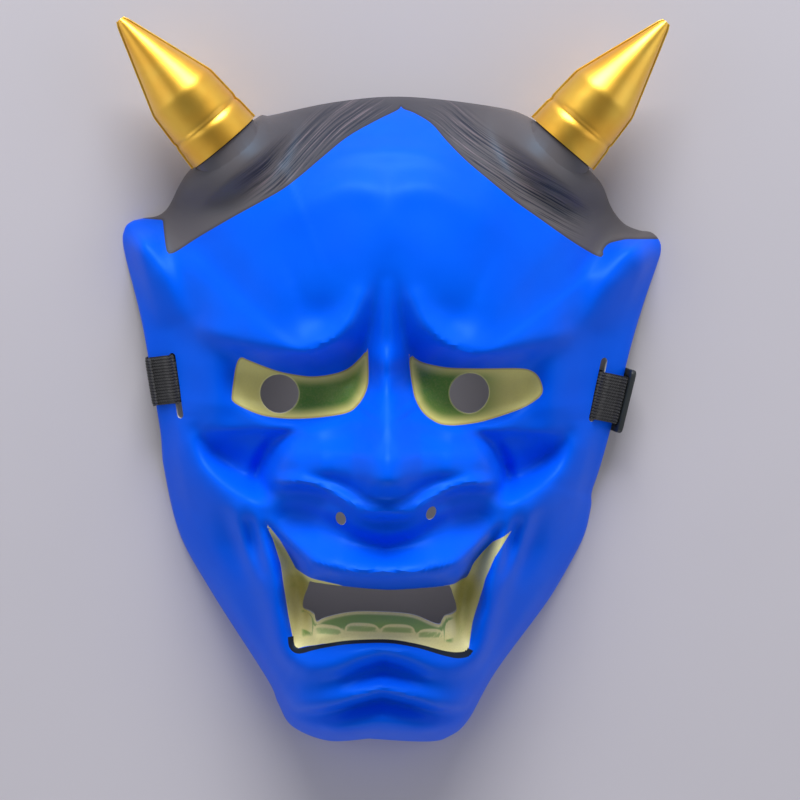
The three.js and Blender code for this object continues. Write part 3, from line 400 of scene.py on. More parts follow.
def smooth_line(points, steps):
    """Smooth line through the points, with this many steps between each two."""
    ends = np.array([points[0], *points, points[-1]], float)
    share = np.linspace(0, 1, steps, endpoint=False)[:, None]
    spans = []
    for before, start, end, after in zip(ends, ends[1:], ends[2:], ends[3:]):
        leave = (end - before) / 2
        arrive = (after - start) / 2
        cubic = 2 * start - 2 * end + leave + arrive
        square = 3 * end - 3 * start - 2 * leave - arrive
        spans.append(cubic * share ** 3 + square * share ** 2 + leave * share + start)
    return np.vstack([*spans, ends[-1:]])


def closed_line(points):
    """Smooth closed outline through the points."""
    return smooth_line([*points, points[0]], LINE_STEPS)[:-1].tolist()


rim_line = smooth_line(RIM_OUTLINE, RIM_STEPS)
rim_angles = np.arctan2(rim_line[:, 0], rim_line[:, 1] - CENTRE_Y)
rim_angles[[0, -1]] = -math.pi, math.pi
rim_distances = np.hypot(rim_line[:, 0], rim_line[:, 1] - CENTRE_Y) - RIM_TRIM


def rim_reach(x, y):
    """Distance from the centre of the face to the rim, in the direction of the point."""
    return np.interp(np.arctan2(x, y - CENTRE_Y), rim_angles, rim_distances)


def line_distance(x, y, line):
    """For each point its distance to the line, the side it is on (1 is left) and its place along it."""
    nearest = np.full(x.shape, np.inf)
    side = np.zeros(x.shape)
    place = np.zeros(x.shape)
    for index in range(len(line) - 1):
        along_x, along_y = line[index + 1] - line[index]
        square = along_x ** 2 + along_y ** 2 + 1e-12
        from_x = x - line[index][0]
        from_y = y - line[index][1]
        share = np.clip((from_x * along_x + from_y * along_y) / square, 0, 1)
        off_x = from_x - along_x * share
        off_y = from_y - along_y * share
        distance = np.hypot(off_x, off_y)
        closer = distance < nearest
        turned = (along_x * off_y - along_y * off_x) / (math.sqrt(square) * distance + 1e-9)
        side = np.where(closer, turned, side)
        place = np.where(closer, index + share, place)
        nearest = np.where(closer, distance, nearest)
    return nearest, side, place


def stroke_height(stroke, x, y):
    """Height that one stroke adds at each point."""
    points, rise, left, right, power = stroke
    steps = STROKE_STEPS if len(points) > 2 else 1
    distance, side, place = line_distance(x, y, smooth_line(points, steps))
    place = place / steps

    def along(values):
        return np.interp(place, range(len(points)), values) if isinstance(values, list) else values

    def across(first, second):
        return (first + second) / 2 + (first - second) / 2 * side

    power = across(*power) if isinstance(power, list) else power
    return along(rise) * np.exp(-(distance / across(along(left), along(right))) ** power)


def carved_height(x, y):
    """Sum of the strokes; each is worked out only where it can be felt."""
    face_x = np.abs(x + FACE_TURN * (y - CENTRE_Y))
    face_y = y - FACE_TURN * x
    total = np.zeros(x.shape)
    for stroke in CARVING.values():
        points = np.array(stroke[0], float)
        reach = STROKE_REACH * max(np.max(stroke[2]), np.max(stroke[3]))
        low = points.min(0) - reach
        high = points.max(0) + reach
        near = (face_x > low[0]) & (face_x < high[0]) & (face_y > low[1]) & (face_y < high[1])
        total[near] += stroke_height(stroke, face_x[near], face_y[near])
    return total


def horn_shoulder(x, y):
    """The swell under a horn: as high as the horn's base along its line, and round across it."""
    swell = np.full(x.shape, -100.0)
    for side in (-1, 1):
        base, direction = HORN_BASES[side], HORN_DIRECTIONS[side]
        level = math.hypot(direction.x, direction.y)
        along = ((x - base.x) * direction.x + (y - base.y) * direction.y) / level
        across = ((x - base.x) * direction.y - (y - base.y) * direction.x) / level
        top = base.z + HORN_PROFILE[0][1] - SHOULDER_DROP - SHOULDER_RISE * along
        top = top - across ** 2 / SHOULDER_FLATNESS - SHOULDER_FADE * np.maximum(-along - SHOULDER_LENGTH, 0)
        swell = np.maximum(swell, top)
    return swell


def smooth_max(first, second, blend):
    gap = np.maximum(blend - np.abs(first - second), 0) / blend
    return np.maximum(first, second) + gap * gap * blend * 0.25


def face_height(x, y):
    """Height of the outer face above the table."""
    reach = rim_reach(x, y)
    share = np.minimum(np.hypot(x, y - CENTRE_Y) / reach, 1)
    sideways = smooth_step(*LIFT_SPAN, np.abs(x) / reach)
    hump = np.clip(1 - ((y - LIFT_CENTRE_Y) / LIFT_HALF_LENGTH) ** 2, 0, 1) ** 2
    lift = RIM_LIFT * hump * sideways
    front = table_value(FRONT_DEPTH, y) - table_value(SIDE_FALL, y) * x * x
    dome = (1 - share ** table_value(DOME_SQUARENESS, y)) ** DOME_EDGE
    face = lift + (front - lift) * dome + carved_height(x, y) * smooth_step(0, RIM_FADE, 1 - share)
    edge = np.sqrt(1 - share ** EDGE_POWER)
    return np.maximum(smooth_max(face, horn_shoulder(x, y) * edge, SHOULDER_BLEND * edge + 1e-6), 0)


def spread(place):
    """Moves the grid's lines: a little closer in the middle, and closer still at the rim."""
    size = np.abs(place)
    eased = (MIDDLE_PACE * (size ** 3 - 2 * size ** 2 + size) + 3 * size ** 2 - 2 * size ** 3
             + RIM_PACE * (size ** 3 - size ** 2))
    return np.sign(place) * eased


def relaxed(height):
    """One pass of averaging each inner point of the grid with its four neighbours."""
    result = height.copy()
    around = height[:-2, 1:-1] + height[2:, 1:-1] + height[1:-1, :-2] + height[1:-1, 2:]
    result[1:-1, 1:-1] = height[1:-1, 1:-1] / 2 + around / 8
    return result


def outer_face():
    """Points of the outer face on a grid of rows and columns."""
    plain_across, plain_up = np.meshgrid(np.linspace(-1, 1, COLUMNS + 1), np.linspace(-1, 1, ROWS + 1))
    across = spread(plain_across)
    up = spread(plain_up) + ROW_BIAS * (plain_up ** 2 - 1)
    disc_x = across * np.sqrt(1 - up ** 2 / 2)
    disc_y = up * np.sqrt(1 - across ** 2 / 2)
    reach = rim_reach(disc_x, disc_y + CENTRE_Y)
    x = disc_x * reach
    y = CENTRE_Y + disc_y * reach
    height = face_height(x, y)
    for _ in range(CREASE_ROUNDS):
        height = relaxed(height)
    return np.dstack([x, y, height])


def inner_face(outer):
    """The outer face softened without rising above it, then set one wall thickness inwards."""
    soft = outer.copy()
    for _ in range(INNER_ROUNDS):
        soft[..., 2] = np.minimum(outer[..., 2], relaxed(soft[..., 2]))
    normal = np.cross(np.gradient(soft, axis=1), np.gradient(soft, axis=0))
    for border in (normal[0], normal[-1], normal[:, 0], normal[:, -1]):
        border[:, 2] = 0
    for row, next_row in ((0, 1), (-1, -2)):
        for column, next_column in ((0, 1), (-1, -2)):
            normal[row, column] = normal[row, next_column] + normal[next_row, column]
    normal /= np.linalg.norm(normal, axis=2, keepdims=True)
    inner = soft - WALL_THICKNESS * normal
    inner[..., 2] = np.maximum(inner[..., 2], 0)
    return inner


def link(name, bm, materials=()):
    """A new object from a bmesh in millimetres."""
    bmesh.ops.translate(bm, verts=bm.verts, vec=FACE_ORIGIN)
    bmesh.ops.scale(bm, verts=bm.verts, vec=(MM, MM, MM))
    mesh = bpy.data.meshes.new(name)
    for material in materials:
        mesh.materials.append(material)
    bm.to_mesh(mesh)
    bm.free()
    piece = bpy.data.objects.new(name, mesh)
    bpy.context.scene.collection.objects.link(piece)
    return piece


def add_grid(bm, points):
    """Adds a grid of quads and moves it onto the points."""
    rows, columns = points.shape[:2]
    made = bmesh.ops.create_grid(bm, x_segments=columns - 1, y_segments=rows - 1, size=1)["verts"]
    for vert, place in zip(made, points.reshape(-1, 3)):
        vert.co = place
    return made


def once(items):
    """Each item once, in their own order, so that every run gives the same mesh."""
    return list(dict.fromkeys(items))


def border_edges(verts):
    """The open edges among these vertices."""
    return once(edge for vert in verts for edge in vert.link_edges if edge.is_boundary)


def faces_of(verts):
    """The faces that hold these vertices."""
    return once(face for vert in verts for face in vert.link_faces)


def wall_between(name, upper, lower, materials):
    """Closed body between two matching grids: the first faces up, the second down and inside."""
    bm = bmesh.new()
    top = add_grid(bm, upper)
    bottom = add_grid(bm, lower)
    bottom_faces = faces_of(bottom)
    bmesh.ops.reverse_faces(bm, faces=bottom_faces)
    sides = bmesh.ops.bridge_loops(bm, edges=border_edges(top) + border_edges(bottom))["faces"]
    for face in bottom_faces + sides:
        face.material_index = INSIDE
    bmesh.ops.recalc_face_normals(bm, faces=bm.faces)
    return link(name, bm, materials)


def combined(piece, other, operation):
    """Joins the other body to the piece or cuts it away, and uses the other one up."""
    modifier = piece.modifiers.new("cut", "BOOLEAN")
    modifier.operation = operation
    modifier.solver = "MANIFOLD"
    modifier.object = other
    made = bpy.data.meshes.new_from_object(piece.evaluated_get(bpy.context.evaluated_depsgraph_get()))
    piece.modifiers.clear()
    worn = piece.data
    piece.data = made
    bpy.data.meshes.remove(worn)
    bpy.data.objects.remove(other)
    return piece


def frame_along(origin, direction, up):
    """A frame whose Z is the direction and whose Y keeps as near as it can to up."""
    z = Vector(direction).normalized()
    x = Vector(up).cross(z).normalized()
    y = z.cross(x)
    return Matrix.Translation(origin) @ Matrix((x, y, z)).transposed().to_4x4()


def horn_frame(side):
    """The horn's own frame: its base at the origin, and Z towards its tip."""
    return frame_along(HORN_BASES[side], HORN_DIRECTIONS[side], (0, 0, 1))


def turned(bm, profile, steps):
    """Adds a closed round body along Z through rows of (distance, radius) that start and end on the axis."""
    verts = [bm.verts.new((radius, 0, along)) for along, radius in profile]
    edges = [bm.edges.new(pair) for pair in zip(verts, verts[1:])]
    bmesh.ops.spin(bm, geom=verts + edges, cent=(0, 0, 0), axis=(0, 0, 1), angle=math.tau, steps=steps,
                   use_merge=True)
    bmesh.ops.remove_doubles(bm, verts=bm.verts, dist=1e-4)
    bmesh.ops.recalc_face_normals(bm, faces=bm.faces)


def round_body(name, profile, steps, place, materials, finish=OUTSIDE):
    """A closed round body on its own, at a place and with one of the shell's finishes."""
    bm = bmesh.new()
    turned(bm, profile, steps)
    bmesh.ops.transform(bm, matrix=place, verts=bm.verts)
    for face in bm.faces:
        face.material_index = finish
    return link(name, bm, materials)


def strap_frame(side):
    """Where the strap crosses the rim: a point on it, the way along it, and the way out of the mask."""
    def rim_point(y):
        x = RIM_GUESS * side
        for _ in range(RIM_PASSES):
            x = float(rim_reach(np.array(x), np.array(y))) * math.sin(math.atan2(x, y - CENTRE_Y))
        return Vector((x, y, 0))

    origin = rim_point(STRAP_Y)
    along = (rim_point(STRAP_Y + STRAP_WIDTH / 2) - rim_point(STRAP_Y - STRAP_WIDTH / 2)).normalized()
    outward = Vector((along.y, -along.x, 0)) * side
    return origin, along, outward


def strap_point(place, outward, z):
    """A point in the strap's upright plane at one side of the mask."""
    point = place[0] + place[2] * outward
    return Vector((point.x, point.y, z))


def surface_beside(place, outward):
    """Height of the shell there, as the mean over a small ring that closes up towards the rim."""
    point = strap_point(place, outward, 0)
    angles = np.linspace(0, math.tau, 12, endpoint=False)
    radius = min(1.0, -outward / RING_FADE) * RING_RADIUS
    x = point.x + radius * np.cos(angles)
    y = point.y + radius * np.sin(angles)
    return float(face_height(x, y).mean())


def prism(bm, outline, bottom, top):
    """Adds a straight body over a closed outline."""
    face = bm.faces.new([bm.verts.new((x, y, bottom)) for x, y in outline])
    made = bmesh.ops.extrude_face_region(bm, geom=[face], use_keep_orig=True)["geom"]
    raised = [item for item in made if isinstance(item, bmesh.types.BMVert)]
    bmesh.ops.translate(bm, verts=raised, vec=(0, 0, top - bottom))
    bmesh.ops.recalc_face_normals(bm, faces=bm.faces)


def ellipse(centre_x, centre_y, half_width, half_length, turn, sides):
    angles = np.linspace(0, math.tau, sides, endpoint=False)
    across = half_width * np.cos(angles)
    up = half_length * np.sin(angles)
    x = centre_x + across * math.cos(turn) - up * math.sin(turn)
    y = centre_y + across * math.sin(turn) + up * math.cos(turn)
    return list(zip(x.tolist(), y.tolist()))


def rounded(bm, edges, radius, segments):
    """Rounds the edges and gives the new faces."""
    return bmesh.ops.bevel(
        bm, geom=edges, offset=radius, offset_type="OFFSET", segments=segments, profile=0.5,
        affect="EDGES", clamp_overlap=True, material=-1,
    )["faces"]


def rounded_box(bm, size, radius, segments, place, upright_only=False):
    """Adds a box with rounded edges, or only its edges along Z rounded, at a place."""
    verts = bmesh.ops.create_cube(bm, size=1)["verts"]
    bmesh.ops.scale(bm, verts=verts, vec=size)
    edges = once(edge for vert in verts for edge in vert.link_edges)
    if upright_only:
        edges = [edge for edge in edges if abs(edge.verts[0].co.z - edge.verts[1].co.z) > size[2] / 2]
    faces = faces_of(verts)
    made = rounded(bm, edges, radius, segments)
    faces = [face for face in faces if face.is_valid] + list(made)
    moved = once(vert for face in faces for vert in face.verts)
    bmesh.ops.transform(bm, matrix=place, verts=moved)


def cutters(materials):
    """One body for everything that is punched through the shell."""
    bm = bmesh.new()
    for x, y, radius in EYE_HOLES:
        prism(bm, ellipse(x, y, radius, radius, 0, EYE_HOLE_SIDES), LOW_CUT, HIGH_CUT)
    for x, y, turn in NOSTRIL_HOLES:
        outline = ellipse(x, y, NOSTRIL_HALF_WIDTH, NOSTRIL_HALF_LENGTH, turn, NOSTRIL_SIDES)
        prism(bm, outline, NOSTRIL_LOW_CUT, HIGH_CUT)
    prism(bm, closed_line(MOUTH_OPENING), LOW_CUT, HIGH_CUT)
    for side in (1, -1):
        place = strap_frame(side)
        middle = strap_point(place, -SLOT_INSET, surface_beside(place, -SLOT_INSET))
        lean = Vector((0, 0, 1)) + place[2] * SLOT_LEAN
        matrix = frame_along(middle + place[1] * SLOT_SHIFT[side], lean, place[1])
        size = (SLOT_WIDTH, SLOT_LENGTH, SLOT_DEPTH)
        rounded_box(bm, size, SLOT_WIDTH / 2 - SLOT_END_FLAT, 6, matrix, upright_only=True)
    for face in bm.faces:
        face.material_index = INSIDE
    return link("cutters", bm, materials)


def carved_shell(materials):
    """The thin shell with its horn necks and openings."""
    outer = outer_face()
    inner = inner_face(outer)
    below = inner.copy()
    below[..., 2] = UNDER_TABLE
    piece = wall_between("carved_shell", outer, inner, materials)
    bore_radius = PLUG_RADIUS - WALL_THICKNESS
    bore_end = PLUG_END - WALL_THICKNESS
    neck_line = [
        (-NECK_DEPTH, 0), (-NECK_DEPTH, NECK_RADIUS), (NECK_END, NECK_RADIUS),
        (NECK_END, PLUG_RADIUS), (PLUG_END, PLUG_RADIUS), (PLUG_END, 0),
    ]
    bore_line = [(-NECK_DEPTH, 0), (-NECK_DEPTH, bore_radius), (bore_end, bore_radius), (bore_end, 0)]
    for side in (1, -1):
        place = horn_frame(side)
        neck = round_body("neck", neck_line, NECK_STEPS, place, materials)
        combined(neck, wall_between("hollow", inner, below, materials), "DIFFERENCE")
        combined(piece, neck, "UNION")
        bore = round_body("bore", bore_line, NECK_STEPS, place, materials, INSIDE)
        combined(piece, bore, "DIFFERENCE")
    return combined(piece, cutters(materials), "DIFFERENCE")


def shade(piece, sharp_angle):
    """Smooth shading with creases kept where faces meet at more than an angle or change material."""
    bm = bmesh.new()
    bm.from_mesh(piece.data)
    for face in bm.faces:
        face.smooth = True
    for edge in bm.edges:
        if len(edge.link_faces) == 2:
            first, second = edge.link_faces
            parted = first.material_index != second.material_index
            edge.smooth = not parted and edge.calc_face_angle(0) < sharp_angle
    bm.to_mesh(piece.data)
    bm.free()


def places(piece):
    """The piece's vertices in millimetres from the face's own origin."""
    flat = np.empty(len(piece.data.vertices) * 3, np.float32)
    piece.data.vertices.foreach_get("co", flat)
    return flat.reshape(-1, 3).astype(float) / MM - FACE_ORIGIN


def note(piece, name, values):
    """Keeps one number for each vertex, for the paint to read."""
    piece.data.attributes.new(name, "FLOAT", "POINT").data.foreach_set("value", values.astype(np.float32))


def depth_inside(x, y, outline):
    """Distance to a closed outline, above zero inside it."""
    line = np.array([*outline, outline[0]], float)
    distance = line_distance(x, y, line)[0]
    inside = np.zeros(x.shape, bool)
    for (start_x, start_y), (end_x, end_y) in zip(line, line[1:]):
        crosses = (start_y > y) != (end_y > y)
        rise = end_y - start_y if end_y != start_y else 1e-9
        inside ^= crosses & (x < start_x + (y - start_y) * (end_x - start_x) / rise)
    return np.where(inside, distance, -distance)


def tooth_outline(left, right, top, bottom):
    """A tooth as it is printed: upright sides and a rounded top."""
    turns = np.linspace(0, math.pi, 15)
    side_power, top_power = TOOTH_POWERS
    reach = np.abs(np.cos(turns)) ** side_power * np.sign(np.cos(turns))
    x = (left + right) / 2 + (right - left) / 2 * reach
    y = bottom + (top - bottom) * np.sin(turns) ** top_power
    return list(zip(x.tolist(), y.tolist()))


def tooth_patch(left, right, top, _):
    """The green patch in the upper part of a tooth, painted shade under its pale top."""
    inset, drop, half = TOOTH_PATCH
    return tooth_outline(left + inset, right - inset, top - drop, top - drop - 2 * half)


def note_lip_line(piece, x, y):
    """Distance to the black line, below zero on its right, its half width, and how far in from its ends."""
    line = smooth_line(LIP_LINE, LINE_STEPS)
    ends = [end + (end - after) / np.linalg.norm(end - after) * LIP_LINE_RUN_ON
            for end, after in ((line[0], line[1]), (line[-1], line[-2]))]
    line = np.vstack([ends[:1], line, ends[1:]])
    distance, side, place = line_distance(x, y, line)
    note(piece, "lip_line", np.where(side < 0, -distance, distance))
    note(piece, "lip_half", np.interp((place - 1) / LINE_STEPS, range(len(LIP_LINE)), LIP_LINE_HALF_WIDTH))
    run = np.concatenate([[0], np.cumsum(np.linalg.norm(np.diff(line, axis=0), axis=1))])
    along = np.interp(place, range(len(line)), run)
    note(piece, "lip_ends", np.minimum(along, run[-1] - along) - LIP_LINE_RUN_ON)


def note_paint(piece):
    """Where each painted area lies, as distances from its edge in millimetres."""
    x, y, _ = places(piece).T
    hair_edge = smooth_line(HAIR_LINE, LINE_STEPS)
    note(piece, "hair", depth_inside(x, y, [*hair_edge.tolist(), *HAIR_BEYOND]))
    note(piece, "hair_along", line_distance(x, y, smooth_line(HAIR_LINE[3:-4], LINE_STEPS))[2])
    eyes = [depth_inside(x, y, closed_line(eye)) for eye in EYE_PAINT]
    note(piece, "eyes", np.maximum(*eyes))
    mouth = depth_inside(x, y, MOUTH_PAINT)
    note(piece, "mouth", mouth)
    note_lip_line(piece, x, y)
    teeth = [depth_inside(x, y, tooth_outline(*tooth)) for tooth in TEETH]
    note(piece, "teeth", np.maximum.reduce(teeth))
    patches = [depth_inside(x, y, tooth_patch(*tooth)) for tooth in TEETH[:4]]
    note(piece, "tooth_painted_shade", np.maximum.reduce(patches))
    note(piece, "opening_edge", -depth_inside(x, y, closed_line(MOUTH_OPENING)))
    rings = [np.hypot(x - centre_x, y - centre_y) - radius for centre_x, centre_y, radius in EYE_HOLES]
    note(piece, "eye_rims", np.minimum(*rings))
    # How far each point near the gold lies above its surroundings, below zero in hollows: the mouth's painted
    # shade reads it
    relief = np.zeros(x.shape)
    near = np.maximum(mouth, np.maximum(*eyes)) > -1
    x, y = x[near], y[near]
    around = [face_height(x + RELIEF_RADIUS * math.cos(angle), y + RELIEF_RADIUS * math.sin(angle))
              for angle in np.linspace(0, math.tau, 8, endpoint=False)]
    relief[near] = face_height(x, y) - np.mean(around, axis=0)
    note(piece, "relief", relief)


def horn_line():
    """The horn's profile in fine steps: straight spans, their corners eased, and the pressed ring."""
    along = np.linspace(0, HORN_LENGTH, HORN_LINE_POINTS)
    corners, radii = zip(*HORN_PROFILE)
    radius = sum(np.interp(along + shift, corners, radii) for shift in CORNER_EASING) / len(CORNER_EASING)
    place, depth, half = HORN_RING
    return np.column_stack([along, radius - depth * np.exp(-((along - place) / half) ** 2)])


def gold_horn(side, materials):
    """Hollow horn with a flat seam down each side, a pressed ring near the base and shallow dents."""
    place = horn_frame(side)
    bm = bmesh.new()
    line = horn_line()
    turned(bm, [(0, 0), *line.tolist(), (HORN_LENGTH, 0)], HORN_STEPS)
    for vert in bm.verts:
        dent(vert, side)
    bmesh.ops.transform(bm, matrix=place, verts=bm.verts)
    piece = link("gold_horn_" + SIDE_WORD[side], bm, materials)

    seam = bmesh.new()
    edge = [(radius + FLANGE_WIDTH, along) for along, radius in line.tolist()]
    prism(seam, [*edge, *[(-across, along) for across, along in reversed(edge)]],
          -FLANGE_THICKNESS / 2, FLANGE_THICKNESS / 2)
    rims = [item for item in seam.edges if abs(item.verts[0].co.z - item.verts[1].co.z) < 1e-6
            and item.calc_face_angle(0) > 1]
    rounded(seam, rims, FLANGE_BEVEL, 3)
    bmesh.ops.transform(seam, matrix=place @ Matrix.Rotation(math.pi / 2, 4, "X"), verts=seam.verts)
    combined(piece, link("seam", seam, materials), "UNION")

    bore = [(along, radius - HORN_WALL) for along, radius in line.tolist() if along < HORN_LENGTH - HORN_TIP]
    bore_line = [(-1, 0), (-1, bore[0][1]), *bore, (bore[-1][0] + HORN_TIP / 2, 0)]
    return combined(piece, round_body("hollow", bore_line, HORN_STEPS, place, materials), "DIFFERENCE")


def dent(vert, side):
    """Presses a horn's point inwards where the real one is dented."""
    radius = math.hypot(vert.co.x, vert.co.y)
    if radius < 0.5:
        return
    angle = math.atan2(vert.co.y, vert.co.x)
    depth = 0.0
    for along, around, length, width, deep in HORN_DENTS:
        off = math.remainder(angle - (around if side > 0 else math.pi - around), math.tau) / width
        depth += deep * math.exp(-((vert.co.z - along) / length) ** 2 - off ** 2)
    share = (radius - depth) / radius
    vert.co.x *= share
    vert.co.y *= share


def loop_over_rim(place, start):
    """Middle line of the strap over the rim, as (distance outward from it, height)."""
    stand = STRAP_THICKNESS / 2 + STRAP_CLEARANCE
    points = list(start)
    outward = STRAP_ON_SHELL[0]
    while outward > STRAP_ON_SHELL[1]:
        slope = math.atan(surface_beside(place, outward + 0.5) - surface_beside(place, outward - 0.5))
        height = surface_beside(place, outward)
        points.append((outward - stand * math.sin(slope), height + stand * math.cos(slope)))
        outward -= STRAP_EDGE_PACE
    top = surface_beside(place, -SLOT_INSET)
    points += [(-SLOT_INSET + away, top + rise) for away, rise in SLOT_PASSAGE]
    return points + [(-SLOT_INSET + away, height) for away, height in SEWN_END]


def right_loop():
    """On the right the strap first weaves up through the leaning slider."""
    lean, level = math.sin(SLIDER_LEAN), math.cos(SLIDER_LEAN)
    weave = [(SLIDER_OFFSET + up * lean + front * level, SLIDER_BOTTOM + up * level - front * lean)
             for front, up in SLIDER_WEAVE]
    return SLIDER_APPROACH + weave


def over_table(place, side):
    """The strap's way over the table from the rim to its middle, as points and their widthwise directions."""
    start = strap_point(place, -STRAP_FLOOR_INSET, STRAP_FLOOR_HEIGHT)
    apex = Vector((0, STRAP_APEX_Y, STRAP_FLOOR_HEIGHT))
    pull = start - place[2] * STRAP_RIM_PULL
    lead = apex + Vector((side * STRAP_APEX_PULL, 0, 0))
    rows = []
    for share in np.linspace(0, 1, STRAP_FLOOR_STEPS + 1):
        rest = 1 - share
        point = (start * rest ** 3 + pull * (3 * rest ** 2 * share)
                 + lead * (3 * rest * share ** 2) + apex * share ** 3)
        way = (pull - start) * rest ** 2 + (lead - pull) * (2 * rest * share) + (apex - lead) * share ** 2
        across = Vector((-way.y, way.x, 0)).normalized()
        rows.append((point, across if across.y > 0 else -across))
    return rows


def strap_course():
    """The strap's middle line and widthwise directions, from its sewn end on the left to the right one."""
    left, right = strap_frame(-1), strap_frame(1)
    from_left = [(strap_point(left, *row), left[1]) for row in loop_over_rim(left, LEFT_LOOP)]
    from_right = [(strap_point(right, *row), right[1]) for row in loop_over_rim(right, right_loop())]
    return from_left[::-1] + over_table(left, -1) + over_table(right, 1)[-2::-1] + from_right


def webbing_strap(materials):
    """The webbing: a rounded strip with lengthwise ribs, swept along the strap's course."""
    rows = np.array([[*middle, *across] for middle, across in strap_course()])
    fine = smooth_line(rows, STRAP_STEPS)
    middle = fine[:, :3]
    across = fine[:, 3:] / np.linalg.norm(fine[:, 3:], axis=1, keepdims=True)
    tangent = np.gradient(middle, axis=0)
    tangent /= np.linalg.norm(tangent, axis=1, keepdims=True)
    upward = np.cross(across, tangent)
    upward /= np.linalg.norm(upward, axis=1, keepdims=True)
    length = np.concatenate([[0], np.cumsum(np.linalg.norm(np.diff(middle, axis=0), axis=1))])

    bm = bmesh.new()
    share = np.linspace(-1, 1, STRAP_ROWS)
    thickness = STRAP_THICKNESS * (1 - STRAP_EDGE_THINNING * share ** 8)
    rib = STRAP_RIB_HEIGHT * np.cos(share * math.pi * STRAP_WIDTH / STRAP_RIB_PITCH)
    edge = middle[:, None] + across[:, None] * (share * STRAP_WIDTH / 2)[None, :, None]
    lift = upward[:, None] * ((thickness / 2 + rib - STRAP_RIB_HEIGHT)[None, :, None])
    top = add_grid(bm, edge + lift)
    bottom = add_grid(bm, edge - lift)
    bmesh.ops.reverse_faces(bm, faces=faces_of(bottom))
    bmesh.ops.bridge_loops(bm, edges=border_edges(top) + border_edges(bottom))
    bmesh.ops.recalc_face_normals(bm, faces=bm.faces)
    uv = bm.loops.layers.uv.new("weave")
    along = np.repeat(length, STRAP_ROWS)
    over = np.tile(share * STRAP_WIDTH / 2, len(length))
    table = {vert: place for verts in (top, bottom) for vert, place in zip(verts, zip(along, over))}
    for face in bm.faces:
        for loop in face.loops:
            loop[uv].uv = table[loop.vert]
    add_stitches(bm, middle, across, upward, length)
    return link("webbing_strap", bm, materials)


def add_stitches(bm, middle, across, upward, length):
    """Two rows of short raised threads where each end of the strap is sewn down."""
    for first, way in ((0, 1), (len(length) - 1, -1)):
        for row in range(2):
            at = length[first] + way * (STITCH_START + row * STITCH_ROW_GAP)
            index = int(np.argmin(abs(length - at)))
            for over in np.linspace(-0.5, 0.5, STITCHES) * (STRAP_WIDTH - 3):
                place = middle[index] + across[index] * over - upward[index] * STRAP_THICKNESS / 2
                rounded_box(bm, STITCH_SIZE, 0.15, 1, frame_along(place, upward[index], across[index]))


def slider_buckle(materials):
    """Plate with two slots for the strap and rounded edges."""
    place = strap_frame(1)
    bm = bmesh.new()
    corner = SLIDER_CORNER
    half = SLIDER_LENGTH / 2 - corner
    outline = []
    top = SLIDER_HEIGHT - corner
    corners = ((half, top), (-half, top), (-half, corner), (half, corner))
    for quarter, (centre_x, centre_y) in enumerate(corners):
        for turn in range(0, 91, 18):
            angle = math.radians(90 * quarter + turn)
            outline.append((centre_x + corner * math.cos(angle), centre_y + corner * math.sin(angle)))
    prism(bm, outline, -SLIDER_THICKNESS / 2, SLIDER_THICKNESS / 2)
    rims = [edge for edge in bm.edges if edge.calc_face_angle(0) > 1]
    rounded(bm, rims, SLIDER_BEVEL, 3)
    facing = place[2] * math.cos(SLIDER_LEAN) - Vector((0, 0, math.sin(SLIDER_LEAN)))
    matrix = frame_along(strap_point(place, SLIDER_OFFSET, SLIDER_BOTTOM), facing, (0, 0, 1))
    bmesh.ops.transform(bm, matrix=matrix, verts=bm.verts)
    piece = link("slider_buckle", bm, materials)

    slots = bmesh.new()
    for bottom in (SLIDER_EDGE, SLIDER_EDGE + SLIDER_SLOT_HEIGHT + SLIDER_BAR_HEIGHT):
        middle = Matrix.Translation((0, bottom + SLIDER_SLOT_HEIGHT / 2, 0))
        size = (STRAP_WIDTH + 2 * SLIDER_SLOT_ROOM, SLIDER_SLOT_HEIGHT, 3 * SLIDER_THICKNESS)
        rounded_box(slots, size, 0.6, 3, middle, upright_only=True)
    bmesh.ops.transform(slots, matrix=matrix, verts=slots.verts)
    return combined(piece, link("slots", slots, materials), "DIFFERENCE")


class Wire:
    """A socket that carries a number, so that sums on it add Math nodes."""

    def __init__(self, finish, socket):
        self.finish = finish
        self.socket = socket

    def maths(self, operation, *values):
        return self.finish.node("Math", {"operation": operation}, dict(enumerate(values)))

    def __add__(self, other):
        return self.maths("ADD", self, other)

    def __sub__(self, other):
        return self.maths("SUBTRACT", self, other)

    def __rsub__(self, other):
        return self.maths("SUBTRACT", other, self)

    def __mul__(self, other):
        return self.maths("MULTIPLY", self, other)

    def __abs__(self):
        return self.maths("ABSOLUTE", self)

    def cosine(self):
        return self.maths("COSINE", self)

    __radd__ = __add__
    __rmul__ = __mul__


